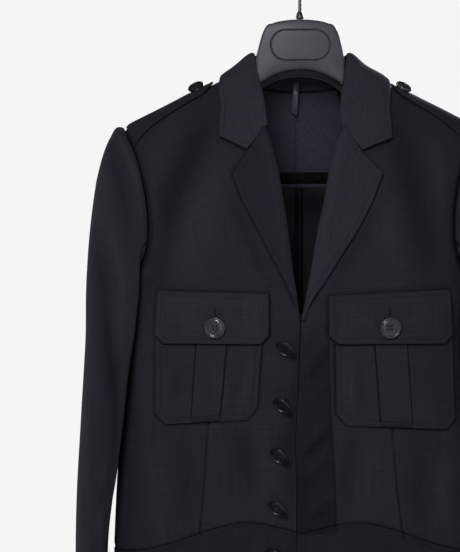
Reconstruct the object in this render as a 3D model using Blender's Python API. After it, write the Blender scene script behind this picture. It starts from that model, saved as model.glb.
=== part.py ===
"""Officer blazer on its hanger, one named solid for each piece that is cut and sewn.

Frame: +X is the viewer's right, the front of the blazer looks along -Y, and +Z is up.
The origin is the point where the hook bears on its rail. Tables are in millimetres and
become metres as they are read. A point on the cloth is found from two numbers: its turn,
0 at the centre line and 1 at the side seam, and its level, 0 at the shoulder line,
1 at the chest and growing downwards.
"""
import math

import bmesh
import bpy
import numpy as np
from mathutils import Matrix, Vector

MM = 0.001

# Driving sizes, in metres
CLOTH = 2.0 * MM
DOUBLE_CLOTH = 2.6 * MM
SEAM_GAP = 0.3 * MM
SEAT_GAP = 0.5 * MM
INSIDE_GAP = 2.35 * MM
CHEST_Z = -360 * MM
LEVEL_STEP = 200 * MM
HEM_Z = -850 * MM
UNDERARM_Z = -402 * MM
CUFF_Z = -845 * MM
SLEEVE_RING_Z = -424 * MM
SHOULDER_NEAR_NECK = np.array((72, -152)) * MM
SHOULDER_SLOPE = 0.505
SHOULDER_END_X = 206 * MM
WAIST_HALF_WIDTH = 219 * MM
FRONT_WAIST_Z = -686 * MM
FRONT_BUTTON_RADIUS = 11.8 * MM
DROOP_HEIGHT = 9.0 * MM
DROOP_SHANK = 9.0 * MM
FLAT_SHANK = 1.2 * MM
POCKET_BUTTON_Z = -451.3 * MM
FLAP_LIFT = 4.2 * MM
EPAULETTE_LIFT = 1.1 * MM
POCKET_BUTTON_RADIUS = 12.0 * MM
EPAULETTE_BUTTON_RADIUS = 10.0 * MM
BAR_Z = -277.5 * MM
BAR_RADIUS = 7.0 * MM
HOOK_ROD_RADIUS = 1.9 * MM
HOOK_RADIUS = 23.0 * MM
BLOCK_TOP_Z = -90 * MM
ARM_START_X = 55 * MM
PLATE_THICKNESS = 9 * MM
PLATE_BULGE = 3 * MM
RECESS_HALF_WIDTH = 34.8 * MM
RECESS_HALF_HEIGHT = 17.8 * MM
RECESS_DEPTH = 2 * MM
RECESS_Z = -121.2 * MM
BAR_REACH = 160 * MM
BAR_END_Z = -232.8 * MM
BAR_BEND = 16 * MM
COLLAR_LIFT = 3.8 * MM

# How square a section is: 2 is an ellipse, more is boxier
FRONT_FULLNESS = 2.3
BACK_FULLNESS = 2.8
FRONT_ARCH = (1.7, 1.4)
BACK_ARCH = (2.2, 1.8)

# Columns: height, half width, depth of the front, depth of the back
TORSO = np.array([
    (-300, 210, 105, 72),
    (-360, 210, 105, 72),
    (-402, 211, 106, 72),
    (-450, 207, 105, 70),
    (-500, 204, 103, 68),
    (-560, 205, 100, 66),
    (-620, 212, 97, 66),
    (-690, 218.5, 94, 68),
    (-780, 221, 95, 73),
    (-860, 220, 97, 78),
]) * MM

# Columns: height, distance from the centre of the armhole on the front, and on the back
ARMHOLE = np.array([
    (-222, 206, 206),
    (-232, 201.5, 202),
    (-251, 192.7, 195),
    (-278, 184.6, 188),
    (-308, 178.6, 184),
    (-335, 176.5, 183),
    (-363, 178.5, 187),
    (-384, 187, 195),
    (-397, 200, 205),
    (-402, 211, 211),
]) * MM

# Columns: height, where the lapel and collar roll, viewer's left and viewer's right
ROLL_LINE = np.array([
    (-216, -38, 41.3),
    (-245, -32.3, 35.6),
    (-277, -25.5, 28.5),
    (-307, -20.5, 23.0),
    (-335, -16.2, 16.6),
    (-380, -10.8, 8.7),
    (-429, -5.0, 1.0),
    (-446, -3.0, -2.2),
]) * MM

# Columns: height, where the two front edges meet
FRONT_EDGE = np.array([
    (-446, -2.6),
    (-521, -5.0),
    (-578, -8.0),
    (-627, -7.3),
    (-683, -7.1),
    (-760, -6.3),
    (-860, -6.0),
]) * MM

# Columns: height, free edge of the lapel, viewer's left and viewer's right
LAPEL_EDGE = np.array([
    (-276, -80, 92),
    (-301, -71.5, 82.4),
    (-338, -52.5, 64),
    (-368, -37, 45),
    (-400, -20, 24.6),
    (-424, -9.4, 8.2),
    (-444, -4.6, 0.6),
]) * MM

# Columns: distance from the centre line, height of the seam at the waist
WAIST_SEAM = np.array([
    (0, -685),
    (20, -680),
    (45, -674.5),
    (67, -673),
    (93, -678),
    (118, -686),
    (140, -694.5),
    (165, -703),
    (190, -709),
    (222, -712),
]) * MM

# Columns: height, outer x, inner x beside the body, reach round the front,
# reach round the back, centre y, half depth
SLEEVE = np.array([
    (-400, 251.6, 215.5, 47, 14, -3, 73),
    (-424, 252.0, 213.5, 42, 14, -2, 73),
    (-460, 252.3, 211.0, 36, 13, 0, 72.5),
    (-500, 254.4, 209.3, 28, 12, 2, 72),
    (-540, 256.8, 209.3, 22, 11, 2, 71),
    (-580, 259.0, 212.3, 19, 10, 1, 70),
    (-620, 261.2, 217.2, 18, 9, -2, 68.5),
    (-660, 262.7, 222.2, 16, 8, -5, 67),
    (-700, 263.2, 226.5, 14.5, 7, -9, 65.5),
    (-760, 263.0, 227.5, 13, 6, -14, 63.5),
    (-845, 263.5, 228.5, 12, 5, -20, 62),
]) * MM

# Columns: height, where the collar folds at the viewer's left and right, y of the fold
COLLAR_FOLD = np.array([
    (-222, -41.0, 46.8, -70),
    (-203, -42.5, 46.0, -57),
    (-185, -45.2, 47.5, -45),
    (-166, -49.0, 51.4, -32),
    (-146, -54.6, 55.6, -18),
    (-131, -58.6, 60.6, -2),
]) * MM

# Columns: share of the way to the back, x share, y, z of the fold behind the shoulder
COLLAR_BACK = ((0.30, 0.97, 13, -129.5), (0.55, 0.82, 31, -131.5), (0.78, 0.50, 42, -134),
               (1.0, 0.0, 46, -136))

# The corners of the collar's front end, as x and z: gorge, notch and point
COLLAR_END = {-1: ((-41.0, -222.0), (-62.0, -250.0), (-93.4, -235.0)),
              1: ((46.8, -220.5), (67.7, -250.2), (103.0, -236.5))}

# The lapel's upper end, as x and z: gorge, notch and tip
LAPEL_END = {-1: ((-39.6, -224.6), (-61.4, -252.6), (-80.0, -275.0)),
             1: ((45.2, -223.0), (67.2, -252.8), (92.0, -276.0))}

# Pocket outlines, as x of the inner and outer edge at the flap and at the foot
POCKET = {-1: {"flap": (-38.5, -169.0), "foot": (-50.5, -168.5), "pleat": (-87, -120),
               "pleat_foot": (-94.5, -127), "button": -99.6},
          1: {"flap": (29.0, 172.5), "foot": (38.0, 177.0), "pleat": (82.2, 118.3),
              "pleat_foot": (89.0, 125), "button": 98.8}}
FLAP_TOP = {-1: (-413.0, -409.5), 1: (-415.5, -408.0)}
FLAP_FOOT = -470.0
FLAP_CHAMFER = 10.0
POCKET_TOP = -429.0
POCKET_FOOT = {-1: (-554.5, -563.0), 1: (-561.0, -569.0)}
POCKET_CHAMFER = 12.0
PLEAT_RISE = 1.4 * MM

# Centre and height of each button on the viewer's left front edge
FRONT_BUTTONS = ((-20.0, -475.1), (-23.7, -539.2), (-27.0, -596.1), (-29.1, -655.4),
                 (-31.8, -709.4))
BUTTON_DROOP = Vector((-0.38, -0.76, -0.52)).normalized()

EPAULETTE_ENDS = {-1: (205.0, 101.0), 1: (205.0, 105.5)}
EPAULETTE_HALF_WIDTHS = (23.0, 19.0)
EPAULETTE_BUTTON_X = 119.5

# The neckline on the back, from the shoulder seam to the centre
BACK_NECKLINE = np.array([(72, -152), (52, -166), (26, -171), (0, -172)]) * MM
FACING_FOOT_Z = -286 * MM
FACING_DROP = 1.5 * MM
FACING_TOP = np.array([(46, -168), (26, -171), (0, -172)]) * MM
NECK_STEPS = 4
FRONT_COLUMNS = 9
LINING_FOOT_Z = -530 * MM

# Columns: distance from the centre, top and bottom of the hanger, its half depth
HANGER = np.array([
    (0, -90, -158, 14),
    (16, -91, -159.5, 14),
    (32, -94.5, -164, 14),
    (41, -100, -169, 14),
    (46, -112, -173, 14),
    (50, -128, -176, 14),
    (54, -142, -179, 14),
    (62, -156, -183, 12),
    (72, -161, -187.5, 13),
    (84, -167.5, -193, 15),
    (110, -178.5, -206, 18),
    (150, -199, -226, 21.5),
    (180, -214.5, -237, 19),
    (187, -219.5, -236, 16),
    (191, -224, -233, 9),
]) * MM

# Columns: distance from the centre, top and bottom of the hanger's face plate
FACE_PLATE = np.array([
    (0, -90.5, -151.5),
    (16, -91.5, -153.5),
    (32, -95, -159),
    (41, -100.5, -164),
    (46, -112.5, -167),
    (49.5, -129, -169.0),
    (51.5, -139, -163),
]) * MM


def clear_scene():
    """Removes whatever the file holds, so that the part stands alone."""
    for item in list(bpy.data.objects):
        bpy.data.objects.remove(item, do_unlink=True)


def material(name, color, roughness, metallic=0.0):
    """A plain surface of one colour."""
    found = bpy.data.materials.get(name)
    if found:
        return found
    made = bpy.data.materials.new(name)
    made.use_nodes = True
    shader = made.node_tree.nodes["Principled BSDF"]
    shader.inputs["Base Color"].default_value = (*color, 1.0)
    shader.inputs["Roughness"].default_value = roughness
    shader.inputs["Metallic"].default_value = metallic
    return made


def wool():
    return material("Charcoal wool", (0.018, 0.019, 0.024), 0.85)


def lining_cloth():
    return material("Black lining", (0.008, 0.008, 0.010), 0.45)


def button_stuff():
    return material("Black button", (0.012, 0.012, 0.013), 0.25)


def hanger_plastic():
    return material("Black plastic", (0.02, 0.02, 0.022), 0.4)


def track(rows, at):
    """Each column after the first, read at the given values of the first column."""
    rows = rows if rows[0, 0] < rows[-1, 0] else rows[::-1]
    knots = rows[:, 0]
    values = rows[:, 1:]
    slopes = np.gradient(values, knots, axis=0)
    at = np.atleast_1d(np.asarray(at, float))
    at = np.clip(at, knots[0], knots[-1])
    cell = np.clip(np.searchsorted(knots, at) - 1, 0, len(knots) - 2)
    width = (knots[cell + 1] - knots[cell])[:, None]
    step = (at - knots[cell])[:, None] / width
    start, end = values[cell], values[cell + 1]
    start_slope, end_slope = slopes[cell] * width, slopes[cell + 1] * width
    return (start * (2 * step**3 - 3 * step**2 + 1) + start_slope * (step**3 - 2 * step**2 + step)
            + end * (3 * step**2 - 2 * step**3) + end_slope * (step**3 - step**2))


def shoulder_line(x):
    """Height of the shoulder line at a distance from the centre."""
    return SHOULDER_NEAR_NECK[1] - SHOULDER_SLOPE * (np.abs(x) - SHOULDER_NEAR_NECK[0])


def torso(turn, level, back=False):
    """Points on the outside of the body of the blazer; a turn below 0 is the viewer's left."""
    turn, level = np.broadcast_arrays(np.asarray(turn, float), np.asarray(level, float))
    height = CHEST_Z - np.maximum(level - 1, 0) * LEVEL_STEP
    rows = track(TORSO, height.ravel())
    half_width = rows[:, 0].reshape(turn.shape)
    depth = rows[:, 2 if back else 1].reshape(turn.shape)
    fullness = BACK_FULLNESS if back else FRONT_FULLNESS
    arch_depth, arch_rise = BACK_ARCH if back else FRONT_ARCH
    angle = np.clip(np.abs(turn), 0, 1) * math.pi / 2
    x = half_width * np.sin(angle) ** (2 / fullness)
    y = depth * np.cos(angle) ** (2 / fullness)
    climb = np.clip(1 - level, 0, 1) * math.pi / 2
    y = y * np.maximum(np.cos(climb), 0) ** (2 / arch_depth)
    rise = (shoulder_line(x) - CHEST_Z) * np.sin(climb) ** (2 / arch_rise)
    z = np.where(level < 1, CHEST_Z + rise, height)
    return np.stack([np.where(turn < 0, -x, x), y if back else -y, z], axis=-1)


def pattern(x, z, back=False):
    """The turns and levels of the cloth seen at x and z."""
    x, z = np.broadcast_arrays(np.asarray(x, float), np.asarray(z, float))
    half_width = track(TORSO, np.minimum(z, CHEST_Z).ravel())[:, 0].reshape(x.shape)
    fullness = BACK_FULLNESS if back else FRONT_FULLNESS
    arch_rise = (BACK_ARCH if back else FRONT_ARCH)[1]
    share = np.clip(np.abs(x) / half_width, 0, 1)
    turn = np.arcsin(share ** (fullness / 2)) / (math.pi / 2)
    lift = np.clip((z - CHEST_Z) / (shoulder_line(x) - CHEST_Z), 0, 1)
    climb = np.arcsin(lift ** (arch_rise / 2))
    level = np.where(z > CHEST_Z, 1 - climb / (math.pi / 2), 1 + (CHEST_Z - z) / LEVEL_STEP)
    return np.stack([np.where(x < 0, -turn, turn), level], axis=-1)


def torso_sheet(place, back=False):
    """Points and outward directions of the cloth for a grid of turns and levels."""
    turn, level = place[..., 0], place[..., 1]
    step = 0.004
    near_turn = np.clip(turn, step * 1.5 - 1, 1 - step * 1.5)
    near_level = np.maximum(level, step * 1.5)
    across = (torso(near_turn + step, near_level, back)
              - torso(near_turn - step, near_level, back))
    down = (torso(near_turn, near_level + step, back)
            - torso(near_turn, near_level - step, back))
    normals = np.cross(across, down) if back else np.cross(down, across)
    normals /= np.linalg.norm(normals, axis=-1, keepdims=True)
    return torso(turn, level, back), normals


def on_front(x, z):
    """Points and outward directions on the front at the x and z that the viewer sees."""
    return torso_sheet(pattern(x, z))


def crest_normals(x):
    """The outward direction on the shoulder line itself."""
    up = np.array([SHOULDER_SLOPE, 0, 1]) / math.hypot(SHOULDER_SLOPE, 1)
    return np.where((np.asarray(x) < 0)[..., None], up * (-1, 1, 1), up)


def on_shoulder(x, y):
    """Points and outward directions over the shoulder at a given x and y."""
    x, y = np.broadcast_arrays(np.asarray(x, float), np.asarray(y, float))
    chest = track(TORSO, [CHEST_Z])[0]
    share = np.clip(np.abs(x) / chest[0], 0, 1)
    points, normals = np.zeros(x.shape + (3,)), np.zeros(x.shape + (3,))
    for back in (False, True):
        fullness = BACK_FULLNESS if back else FRONT_FULLNESS
        arch_depth = (BACK_ARCH if back else FRONT_ARCH)[0]
        turn = np.arcsin(share ** (fullness / 2)) / (math.pi / 2)
        depth = chest[2 if back else 1] * np.cos(turn * math.pi / 2) ** (2 / fullness)
        climb = np.arccos(np.clip(np.abs(y) / depth, 0, 1) ** (arch_depth / 2))
        place = np.stack([np.where(x < 0, -turn, turn), 1 - climb / (math.pi / 2)], axis=-1)
        half_points, half_normals = torso_sheet(place, back)
        use = (y > 0) == back
        points[use], normals[use] = half_points[use], half_normals[use]
    near_top = np.clip(1 - np.abs(y) / (6 * MM), 0, 1)[..., None]
    normals = normals * (1 - near_top) + crest_normals(x) * near_top
    return points, normals / np.linalg.norm(normals, axis=-1, keepdims=True)


def along(points, count):
    """Points spread evenly along a smooth line through the given ones."""
    points = np.asarray(points, float)
    lengths = np.r_[0, np.cumsum(np.linalg.norm(np.diff(points, axis=0), axis=1))]
    rows = np.column_stack([lengths, points])
    if len(points) == 2:
        fine = points[0] + np.linspace(0, 1, 60)[:, None] * (points[1] - points[0])
    else:
        fine = track(rows, np.linspace(0, lengths[-1], 300))
    travelled = np.r_[0, np.cumsum(np.linalg.norm(np.diff(fine, axis=0), axis=1))]
    wanted = np.linspace(0, travelled[-1], count + 1)
    return np.column_stack([np.interp(wanted, travelled, fine[:, k]) for k in range(fine.shape[1])])


def patch(top, bottom, inner, outer):
    """Fills four edges with a grid, rows running down and columns from inner to outer."""
    rows, columns = len(inner), len(top)
    down = np.linspace(0, 1, rows)[:, None, None]
    across = np.linspace(0, 1, columns)[None, :, None]
    sides = (1 - across) * inner[:, None] + across * outer[:, None]
    ends = (1 - down) * top[None] + down * bottom[None]
    corners = ((1 - down) * (1 - across) * top[0] + (1 - down) * across * top[-1]
               + down * (1 - across) * bottom[0] + down * across * bottom[-1])
    return sides + ends - corners


def grid_normals(points, flip=False):
    """Outward directions of a grid of points, from the faces round each point."""
    falling = points[1:, 1:] - points[:-1, :-1]
    rising = points[1:, :-1] - points[:-1, 1:]
    faces = np.cross(falling, rising)
    faces /= np.maximum(np.linalg.norm(faces, axis=-1, keepdims=True), 1e-12)
    padded = np.pad(faces, ((1, 1), (1, 1), (0, 0)))
    normals = padded[1:, 1:] + padded[1:, :-1] + padded[:-1, 1:] + padded[:-1, :-1]
    normals /= np.maximum(np.linalg.norm(normals, axis=-1, keepdims=True), 1e-12)
    return -normals if flip else normals


def add_mesh(name, vertices, faces, stuff, smooth=True):
    """Makes one object from points and faces, with its faces looking out."""
    mesh = bpy.data.meshes.new(name)
    mesh.from_pydata([tuple(v) for v in vertices], [], faces)
    body = bmesh.new()
    body.from_mesh(mesh)
    bmesh.ops.recalc_face_normals(body, faces=body.faces)
    body.to_mesh(mesh)
    body.free()
    if smooth:
        mesh.shade_smooth()
        mesh.set_sharp_from_angle(angle=math.radians(40))
    mesh.materials.append(stuff)
    made = bpy.data.objects.new(name, mesh)
    bpy.context.scene.collection.objects.link(made)
    return made


def wall(name, points, normals, low, high, stuff):
    """A sheet of cloth between two distances from a grid of points."""
    rows, columns = points.shape[:2]
    low = np.broadcast_to(np.asarray(low, float), (rows, columns))[..., None]
    high = np.broadcast_to(np.asarray(high, float), (rows, columns))[..., None]
    under = (points + normals * low).reshape(-1, 3)
    over = (points + normals * high).reshape(-1, 3)
    half = rows * columns
    faces = []
    for r in range(rows - 1):
        for c in range(columns - 1):
            quad = [r * columns + c, r * columns + c + 1,
                    (r + 1) * columns + c + 1, (r + 1) * columns + c]
            faces.append(quad)
            faces.append([half + k for k in reversed(quad)])
    rim = [(0, c) for c in range(columns)]
    rim += [(r, columns - 1) for r in range(1, rows)]
    rim += [(rows - 1, c) for c in range(columns - 2, -1, -1)]
    rim += [(r, 0) for r in range(rows - 2, 0, -1)]
    rim = [r * columns + c for r, c in rim]
    for here, there in zip(rim, rim[1:] + rim[:1]):
        first, second = sorted((here, there))
        faces.append([first, half + first, half + second])
        faces.append([first, half + second, second])
    return add_mesh(name, np.vstack([under, over]), faces, stuff)


def trimmed(grid, sides):
    """Draws the named edges of a grid of points in by half a seam gap."""
    grid = grid.copy()
    moves = {"top": (0, 1), "bottom": (-1, -2), "inner": (0, 1), "outer": (-1, -2)}
    for name in sides:
        edge, beside = moves[name]
        view = grid if name in ("top", "bottom") else grid.swapaxes(0, 1)
        step = view[beside] - view[edge]
        length = np.linalg.norm(step, axis=-1, keepdims=True)
        view[edge] += step / np.maximum(length, 1e-9) * SEAM_GAP / 2
    return grid


def side_name(side):
    return "left" if side < 0 else "right"


def pattern_line(points, count, back=False):
    """An edge drawn through x and z, spread evenly, as turns and levels."""
    line = along(points, count)
    return pattern(line[:, 0], line[:, 1], back)


def joined(*lines):
    """Runs several lines together, leaving out the doubled points."""
    return np.vstack([lines[0]] + [line[1:] for line in lines[1:]])


def waist_points(start, end, count):
    """The waist seam between two distances from the centre, as x and z."""
    x = np.linspace(start, end, count)
    return np.column_stack([x, track(WAIST_SEAM, np.abs(x))[:, 0]])


def front_edges(side):
    """The four edges of a front, as turns and levels."""
    column = 1 if side < 0 else 2
    out = np.array([side, 1])
    roll = ROLL_LINE[:, [column, 0]]
    edge = FRONT_EDGE[FRONT_EDGE[:, 0] > FRONT_WAIST_Z][:, [1, 0]]
    edge = np.vstack([roll[-1], edge[1:]])
    foot = waist_points(edge[-1, 0], side * WAIST_HALF_WIDTH, 12)
    edge[-1] = foot[0]
    neck = np.array([SHOULDER_NEAR_NECK * out, (side * 62 * MM, -180 * MM), roll[0]])
    side_seam_z = np.linspace(UNDERARM_Z, foot[-1, 1], 13)
    side_seam = np.column_stack([side * track(TORSO, side_seam_z)[:, 0], side_seam_z])
    foot[-1] = side_seam[-1]
    inner = joined(pattern_line(neck, 3), pattern_line(roll, 9), pattern_line(edge, 10))
    outer = joined(pattern_line(ARMHOLE[:, [1, 0]] * out, 10), pattern(*side_seam.T))
    shoulder_end = np.array([SHOULDER_END_X, ARMHOLE[0, 0]])
    top = pattern_line(np.array([SHOULDER_NEAR_NECK * out, shoulder_end * out]), FRONT_COLUMNS)
    top[:, 1] = 0
    bottom = pattern_line(foot, FRONT_COLUMNS)
    inner[0], outer[0] = top[0], top[-1]
    inner[-1] = bottom[0]
    outer[-1, 0] = bottom[-1, 0] = side
    bottom[-1] = outer[-1]
    return top, bottom, inner, outer


def finer_shoulder(place):
    """Adds rows where the cloth turns over the shoulder."""
    extra = [place[0] * (1 - share) + place[1] * share for share in (0.3, 0.62)]
    return np.vstack([place[:1], extra, place[1:]])


def build_front(side):
    """One front, from the shoulder seam down to the waist seam."""
    place = finer_shoulder(patch(*front_edges(side)))
    points, normals = torso_sheet(place)
    normals[0] = crest_normals(points[0, :, 0])
    points = trimmed(points, ("top", "bottom", "inner", "outer"))
    wall(f"front_{side_name(side)}", points, normals, -CLOTH, 0, wool())


def build_back(side):
    """One half of the back, from the shoulder and neck down to the waist."""
    out = np.array([side, 1])
    foot_z = track(WAIST_SEAM, [WAIST_HALF_WIDTH])[0, 0]
    side_seam_z = np.linspace(UNDERARM_Z, foot_z, 13)
    side_seam = np.column_stack([side * track(TORSO, side_seam_z)[:, 0], side_seam_z])
    outer = joined(pattern_line(ARMHOLE[:, [2, 0]] * out, 10, True), pattern(*side_seam.T, True))
    neck = pattern_line(BACK_NECKLINE * out, NECK_STEPS, True)
    shoulder_end = np.array([SHOULDER_END_X, ARMHOLE[0, 0]])
    shoulder = pattern_line(np.array([SHOULDER_NEAR_NECK * out, shoulder_end * out]), FRONT_COLUMNS,
                            True)
    shoulder[:, 1] = 0
    neck[-1, 0] = 0
    neck[0], outer[0] = shoulder[0], shoulder[-1]
    outer[-1, 0] = side
    top = joined(neck[::-1], shoulder)
    down = np.linspace(0, 1, len(outer))
    inner = np.column_stack([down * 0, top[0, 1] + down * (outer[-1, 1] - top[0, 1])])
    bottom = np.linspace(inner[-1], outer[-1], len(top))
    place = finer_shoulder(patch(top, bottom, inner, outer))
    points, normals = torso_sheet(place, True)
    normals[0, len(neck) - 1:] = crest_normals(points[0, len(neck) - 1:, 0])
    points = trimmed(points, ("top", "bottom", "inner", "outer"))
    wall(f"back_{side_name(side)}", points, normals, -CLOTH, 0, wool())


def build_skirts(side):
    """The short skirt below the waist seam, front and back."""
    name = side_name(side)
    edge_x = track(FRONT_EDGE, [FRONT_WAIST_Z])[0, 0]
    top = pattern_line(waist_points(edge_x, side * WAIST_HALF_WIDTH, 12), FRONT_COLUMNS)
    hem_x = track(FRONT_EDGE, [HEM_Z])[0, 0]
    hem = np.column_stack([np.linspace(hem_x, side * 230 * MM, 11), np.full(11, HEM_Z)])
    bottom = pattern_line(hem, FRONT_COLUMNS)
    top[-1, 0] = bottom[-1, 0] = side
    share = np.linspace(0, 1, 5)[:, None]
    inner = top[0] * (1 - share) + bottom[0] * share
    outer = top[-1] * (1 - share) + bottom[-1] * share
    points, normals = torso_sheet(patch(top, bottom, inner, outer))
    points = trimmed(points, ("top", "inner", "outer"))
    wall(f"skirt_front_{name}", points, normals, -CLOTH, 0, wool())
    turns = side * np.linspace(0, 1, 10)
    levels = top[-1, 1] + share * (bottom[-1, 1] - top[-1, 1])
    grid = np.stack(np.broadcast_arrays(turns[None, :], levels), axis=-1)
    points, normals = torso_sheet(grid, True)
    points = trimmed(points, ("top", "inner", "outer"))
    wall(f"skirt_back_{name}", points, normals, -CLOTH, 0, wool())


def armhole_loop(side, count):
    """The armhole seam, from the shoulder round the front to the underarm and back."""
    out = np.array([side, 1])
    front = pattern_line(ARMHOLE[:, [1, 0]] * out, count)
    rear = pattern_line(ARMHOLE[:, [2, 0]] * out, count, True)
    front[0, 1] = rear[0, 1] = 0
    front_points = torso(front[:, 0], front[:, 1])
    rear_points = torso(rear[:, 0], rear[:, 1], True)
    return np.vstack([front_points, rear_points[-2:0:-1]])


def sleeve_ring(side, z, angles):
    """One level section of the sleeve, which wraps round the side of the body."""
    outer, inner, front_reach, back_reach, centre_y, half_depth = track(SLEEVE, [z])[0]
    half_width = (outer - inner) / 2
    centre = (outer + inner) / 2
    cosine, sine = np.cos(angles), np.sin(angles)
    wrap = np.where(sine > 0, front_reach, back_reach) * sine**2
    x = centre + half_width * np.sign(cosine) * np.abs(cosine) ** 0.85 - wrap
    y = centre_y - half_depth * np.sign(sine) * np.abs(sine) ** 0.9
    return np.column_stack([side * x, y, np.full(len(angles), z)])


def sleeve_grid(side, around, cap_rows, rows):
    """The whole sleeve: rows run down from the armhole, columns go round."""
    angles = np.linspace(0, 2 * math.pi, around, endpoint=False)
    hole = armhole_loop(side, around // 2)
    ring = sleeve_ring(side, SLEEVE_RING_Z, angles)
    below = sleeve_ring(side, SLEEVE_RING_Z - 4 * MM, angles)
    fall = (below - ring) / np.linalg.norm(below - ring, axis=1, keepdims=True)
    topness = (1 + np.cos(angles)) / 2
    leave = np.column_stack([side * np.full(around, 1.0), -0.75 * np.sin(angles) * (1 - topness / 2),
                             0.30 * topness - 0.5 * (1 - topness) ** 3])
    leave /= np.linalg.norm(leave, axis=1, keepdims=True)
    reach = np.linalg.norm(ring - hole, axis=1, keepdims=True)
    start = hole + leave * 1.6 * SEAT_GAP
    start_pull = leave * reach * (0.36 + 0.10 * topness[:, None])
    end_pull = fall * reach * (0.75 + 0.40 * topness[:, None])
    grid = []
    for s in np.linspace(0, 1, cap_rows + 1):
        grid.append(start * (2 * s**3 - 3 * s**2 + 1) + start_pull * (s**3 - 2 * s**2 + s)
                    + ring * (3 * s**2 - 2 * s**3) + end_pull * (s**3 - s**2))
    for z in np.linspace(SLEEVE_RING_Z, CUFF_Z, rows + 1)[1:]:
        grid.append(sleeve_ring(side, z, angles))
    return np.array(grid)


def build_sleeve(side):
    """The top and under halves of one sleeve."""
    around = 20
    grid = sleeve_grid(side, around, 6, 9)
    closed = np.concatenate([grid[:, -1:], grid, grid[:, :1]], axis=1)
    normals = grid_normals(closed, flip=side < 0)[:, 1:-1]
    name = side_name(side)
    front_seam, back_seam = 7, 14
    top = [k % around for k in range(back_seam, around + front_seam + 1)]
    under = list(range(front_seam, back_seam + 1))
    for label, columns in (("sleeve_top", top), ("sleeve_under", under)):
        points = trimmed(grid[:, columns], ("inner", "outer"))
        wall(f"{label}_{name}", points, normals[:, columns], -CLOTH, 0, wool())


def build_lapel(side):
    """The turned-back lapel, lying on the front outside the roll line."""
    column = 1 if side < 0 else 2
    gorge, notch, tip = [np.array(p) * MM for p in LAPEL_END[side]]
    upper = joined(along([gorge, notch], 3), along([notch, tip], 2))
    roll = np.column_stack([ROLL_LINE[:, column], ROLL_LINE[:, 0]])
    roll = np.vstack([gorge, roll[1:-1], (roll[-1, 0] + side * 0.2 * MM, -443 * MM)])
    edge = np.column_stack([LAPEL_EDGE[:, column], LAPEL_EDGE[:, 0]])
    inner, outer = along(roll, 10), along(edge, 10)
    outer[0], outer[-1] = upper[-1], inner[-1] + (side * 2.0 * MM, 0)
    lower = np.linspace(inner[-1], outer[-1], 6)
    place = patch(upper, lower, inner, outer)
    points, normals = on_front(place[..., 0], place[..., 1])
    across = np.linspace(0, 1, 6)[None, :]
    down = np.linspace(0, 1, 11)[:, None]
    roll_lift = 2.4 * MM * np.exp(-((across - 0.12) / 0.25) ** 2) * (1 - 0.6 * down)
    lift = SEAT_GAP + roll_lift
    wall(f"lapel_{side_name(side)}", points, normals, lift, lift + DOUBLE_CLOTH, wool())


def collar_fold(side, count):
    """Where the collar folds, from the gorge over the shoulder to the back of the neck."""
    column = 1 if side < 0 else 2
    front = COLLAR_FOLD[:, [column, 3, 0]]
    apex = front[-1]
    rear = [(apex[0] * row[1], row[2] * MM, row[3] * MM) for row in COLLAR_BACK]
    return along(np.vstack([front, rear]), count)


def collar_outer(side, count):
    """The free edge of the collar, from its point round to the centre of the back."""
    point = np.array(COLLAR_END[side][2]) * MM
    widest = abs(point[0]) - 0.5 * MM
    x = side * np.array([abs(point[0]), widest, widest - 0.8 * MM, widest + 1 * MM, widest])
    z = np.array([point[1], -214 * MM, -195 * MM, -178 * MM, -168.5 * MM])
    front, normals = on_front(x, z)
    front = front + normals * np.array([4.0, 3.8, 3.7, 3.8, 4.4])[:, None] * MM
    share, rear_z = np.array([(0.92, -164), (0.82, -171), (0.58, -178), (0.28, -182), (0, -183)]).T
    rear, normals = torso_sheet(pattern(side * widest * share, rear_z * MM, True), True)
    return along(np.vstack([front, rear + normals * 4.2 * MM]), count)


def collar_grid(side, count, rows):
    """Half of the collar's fall, from its front end to the centre of the back."""
    fold, edge = collar_fold(side, count), collar_outer(side, count)
    gorge, notch, point = [np.array(p) * MM for p in COLLAR_END[side]]
    end = joined(along([gorge, notch], rows // 2), along([notch, point], rows - rows // 2))
    end_points, end_normals = on_front(end[:, 0], end[:, 1])
    end_points = end_points + end_normals * 3.6 * MM
    grid = []
    share = np.linspace(0, 1, rows + 1)[:, None]
    for k in range(count + 1):
        span = np.linalg.norm(edge[k] - fold[k])
        outward = np.array([fold[k][0], fold[k][1] * 0.6, 0])
        outward /= np.linalg.norm(outward)
        start_pull = (outward * 0.5 + np.array([0, 0, 0.42])) * span * 0.9
        end_pull = (outward * 0.35 + np.array([0, 0, -1.0])) * span * 0.75
        straight = fold[k] + (edge[k] - fold[k]) * share
        curved = (fold[k] * (2 * share**3 - 3 * share**2 + 1)
                  + start_pull * (share**3 - 2 * share**2 + share)
                  + edge[k] * (3 * share**2 - 2 * share**3) + end_pull * (share**3 - share**2))
        along_front = np.clip(k / (count * 0.42), 0, 1)
        mix = along_front * along_front * (3 - 2 * along_front)
        laid = laid_on_front(straight) if along_front < 1 else straight
        row = laid * (1 - mix) + curved * mix
        grid.append(end_points if k == 0 else row)
    return np.array(grid)


def laid_on_front(points):
    """Points lifted to lie just over the front at the same x and z."""
    low = points.copy()
    limit = shoulder_line(low[:, 0]) - 4 * MM
    laid, normals = on_front(low[:, 0], np.minimum(low[:, 2], limit))
    laid = laid + normals * COLLAR_LIFT
    over = low[:, 2] > limit
    laid[over] = low[over]
    return laid


def build_collar():
    """The collar's fall and, inside it, the stand at the back of the neck."""
    count, rows = 12, 5
    left = collar_grid(-1, count, rows)
    right = collar_grid(1, count, rows)
    grid = np.concatenate([left, right[-2::-1]], axis=0)
    normals = grid_normals(grid, flip=True)
    wall("collar_fall", grid, normals, -DOUBLE_CLOTH / 2, DOUBLE_CLOTH / 2, wool())
    build_stand()


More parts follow.
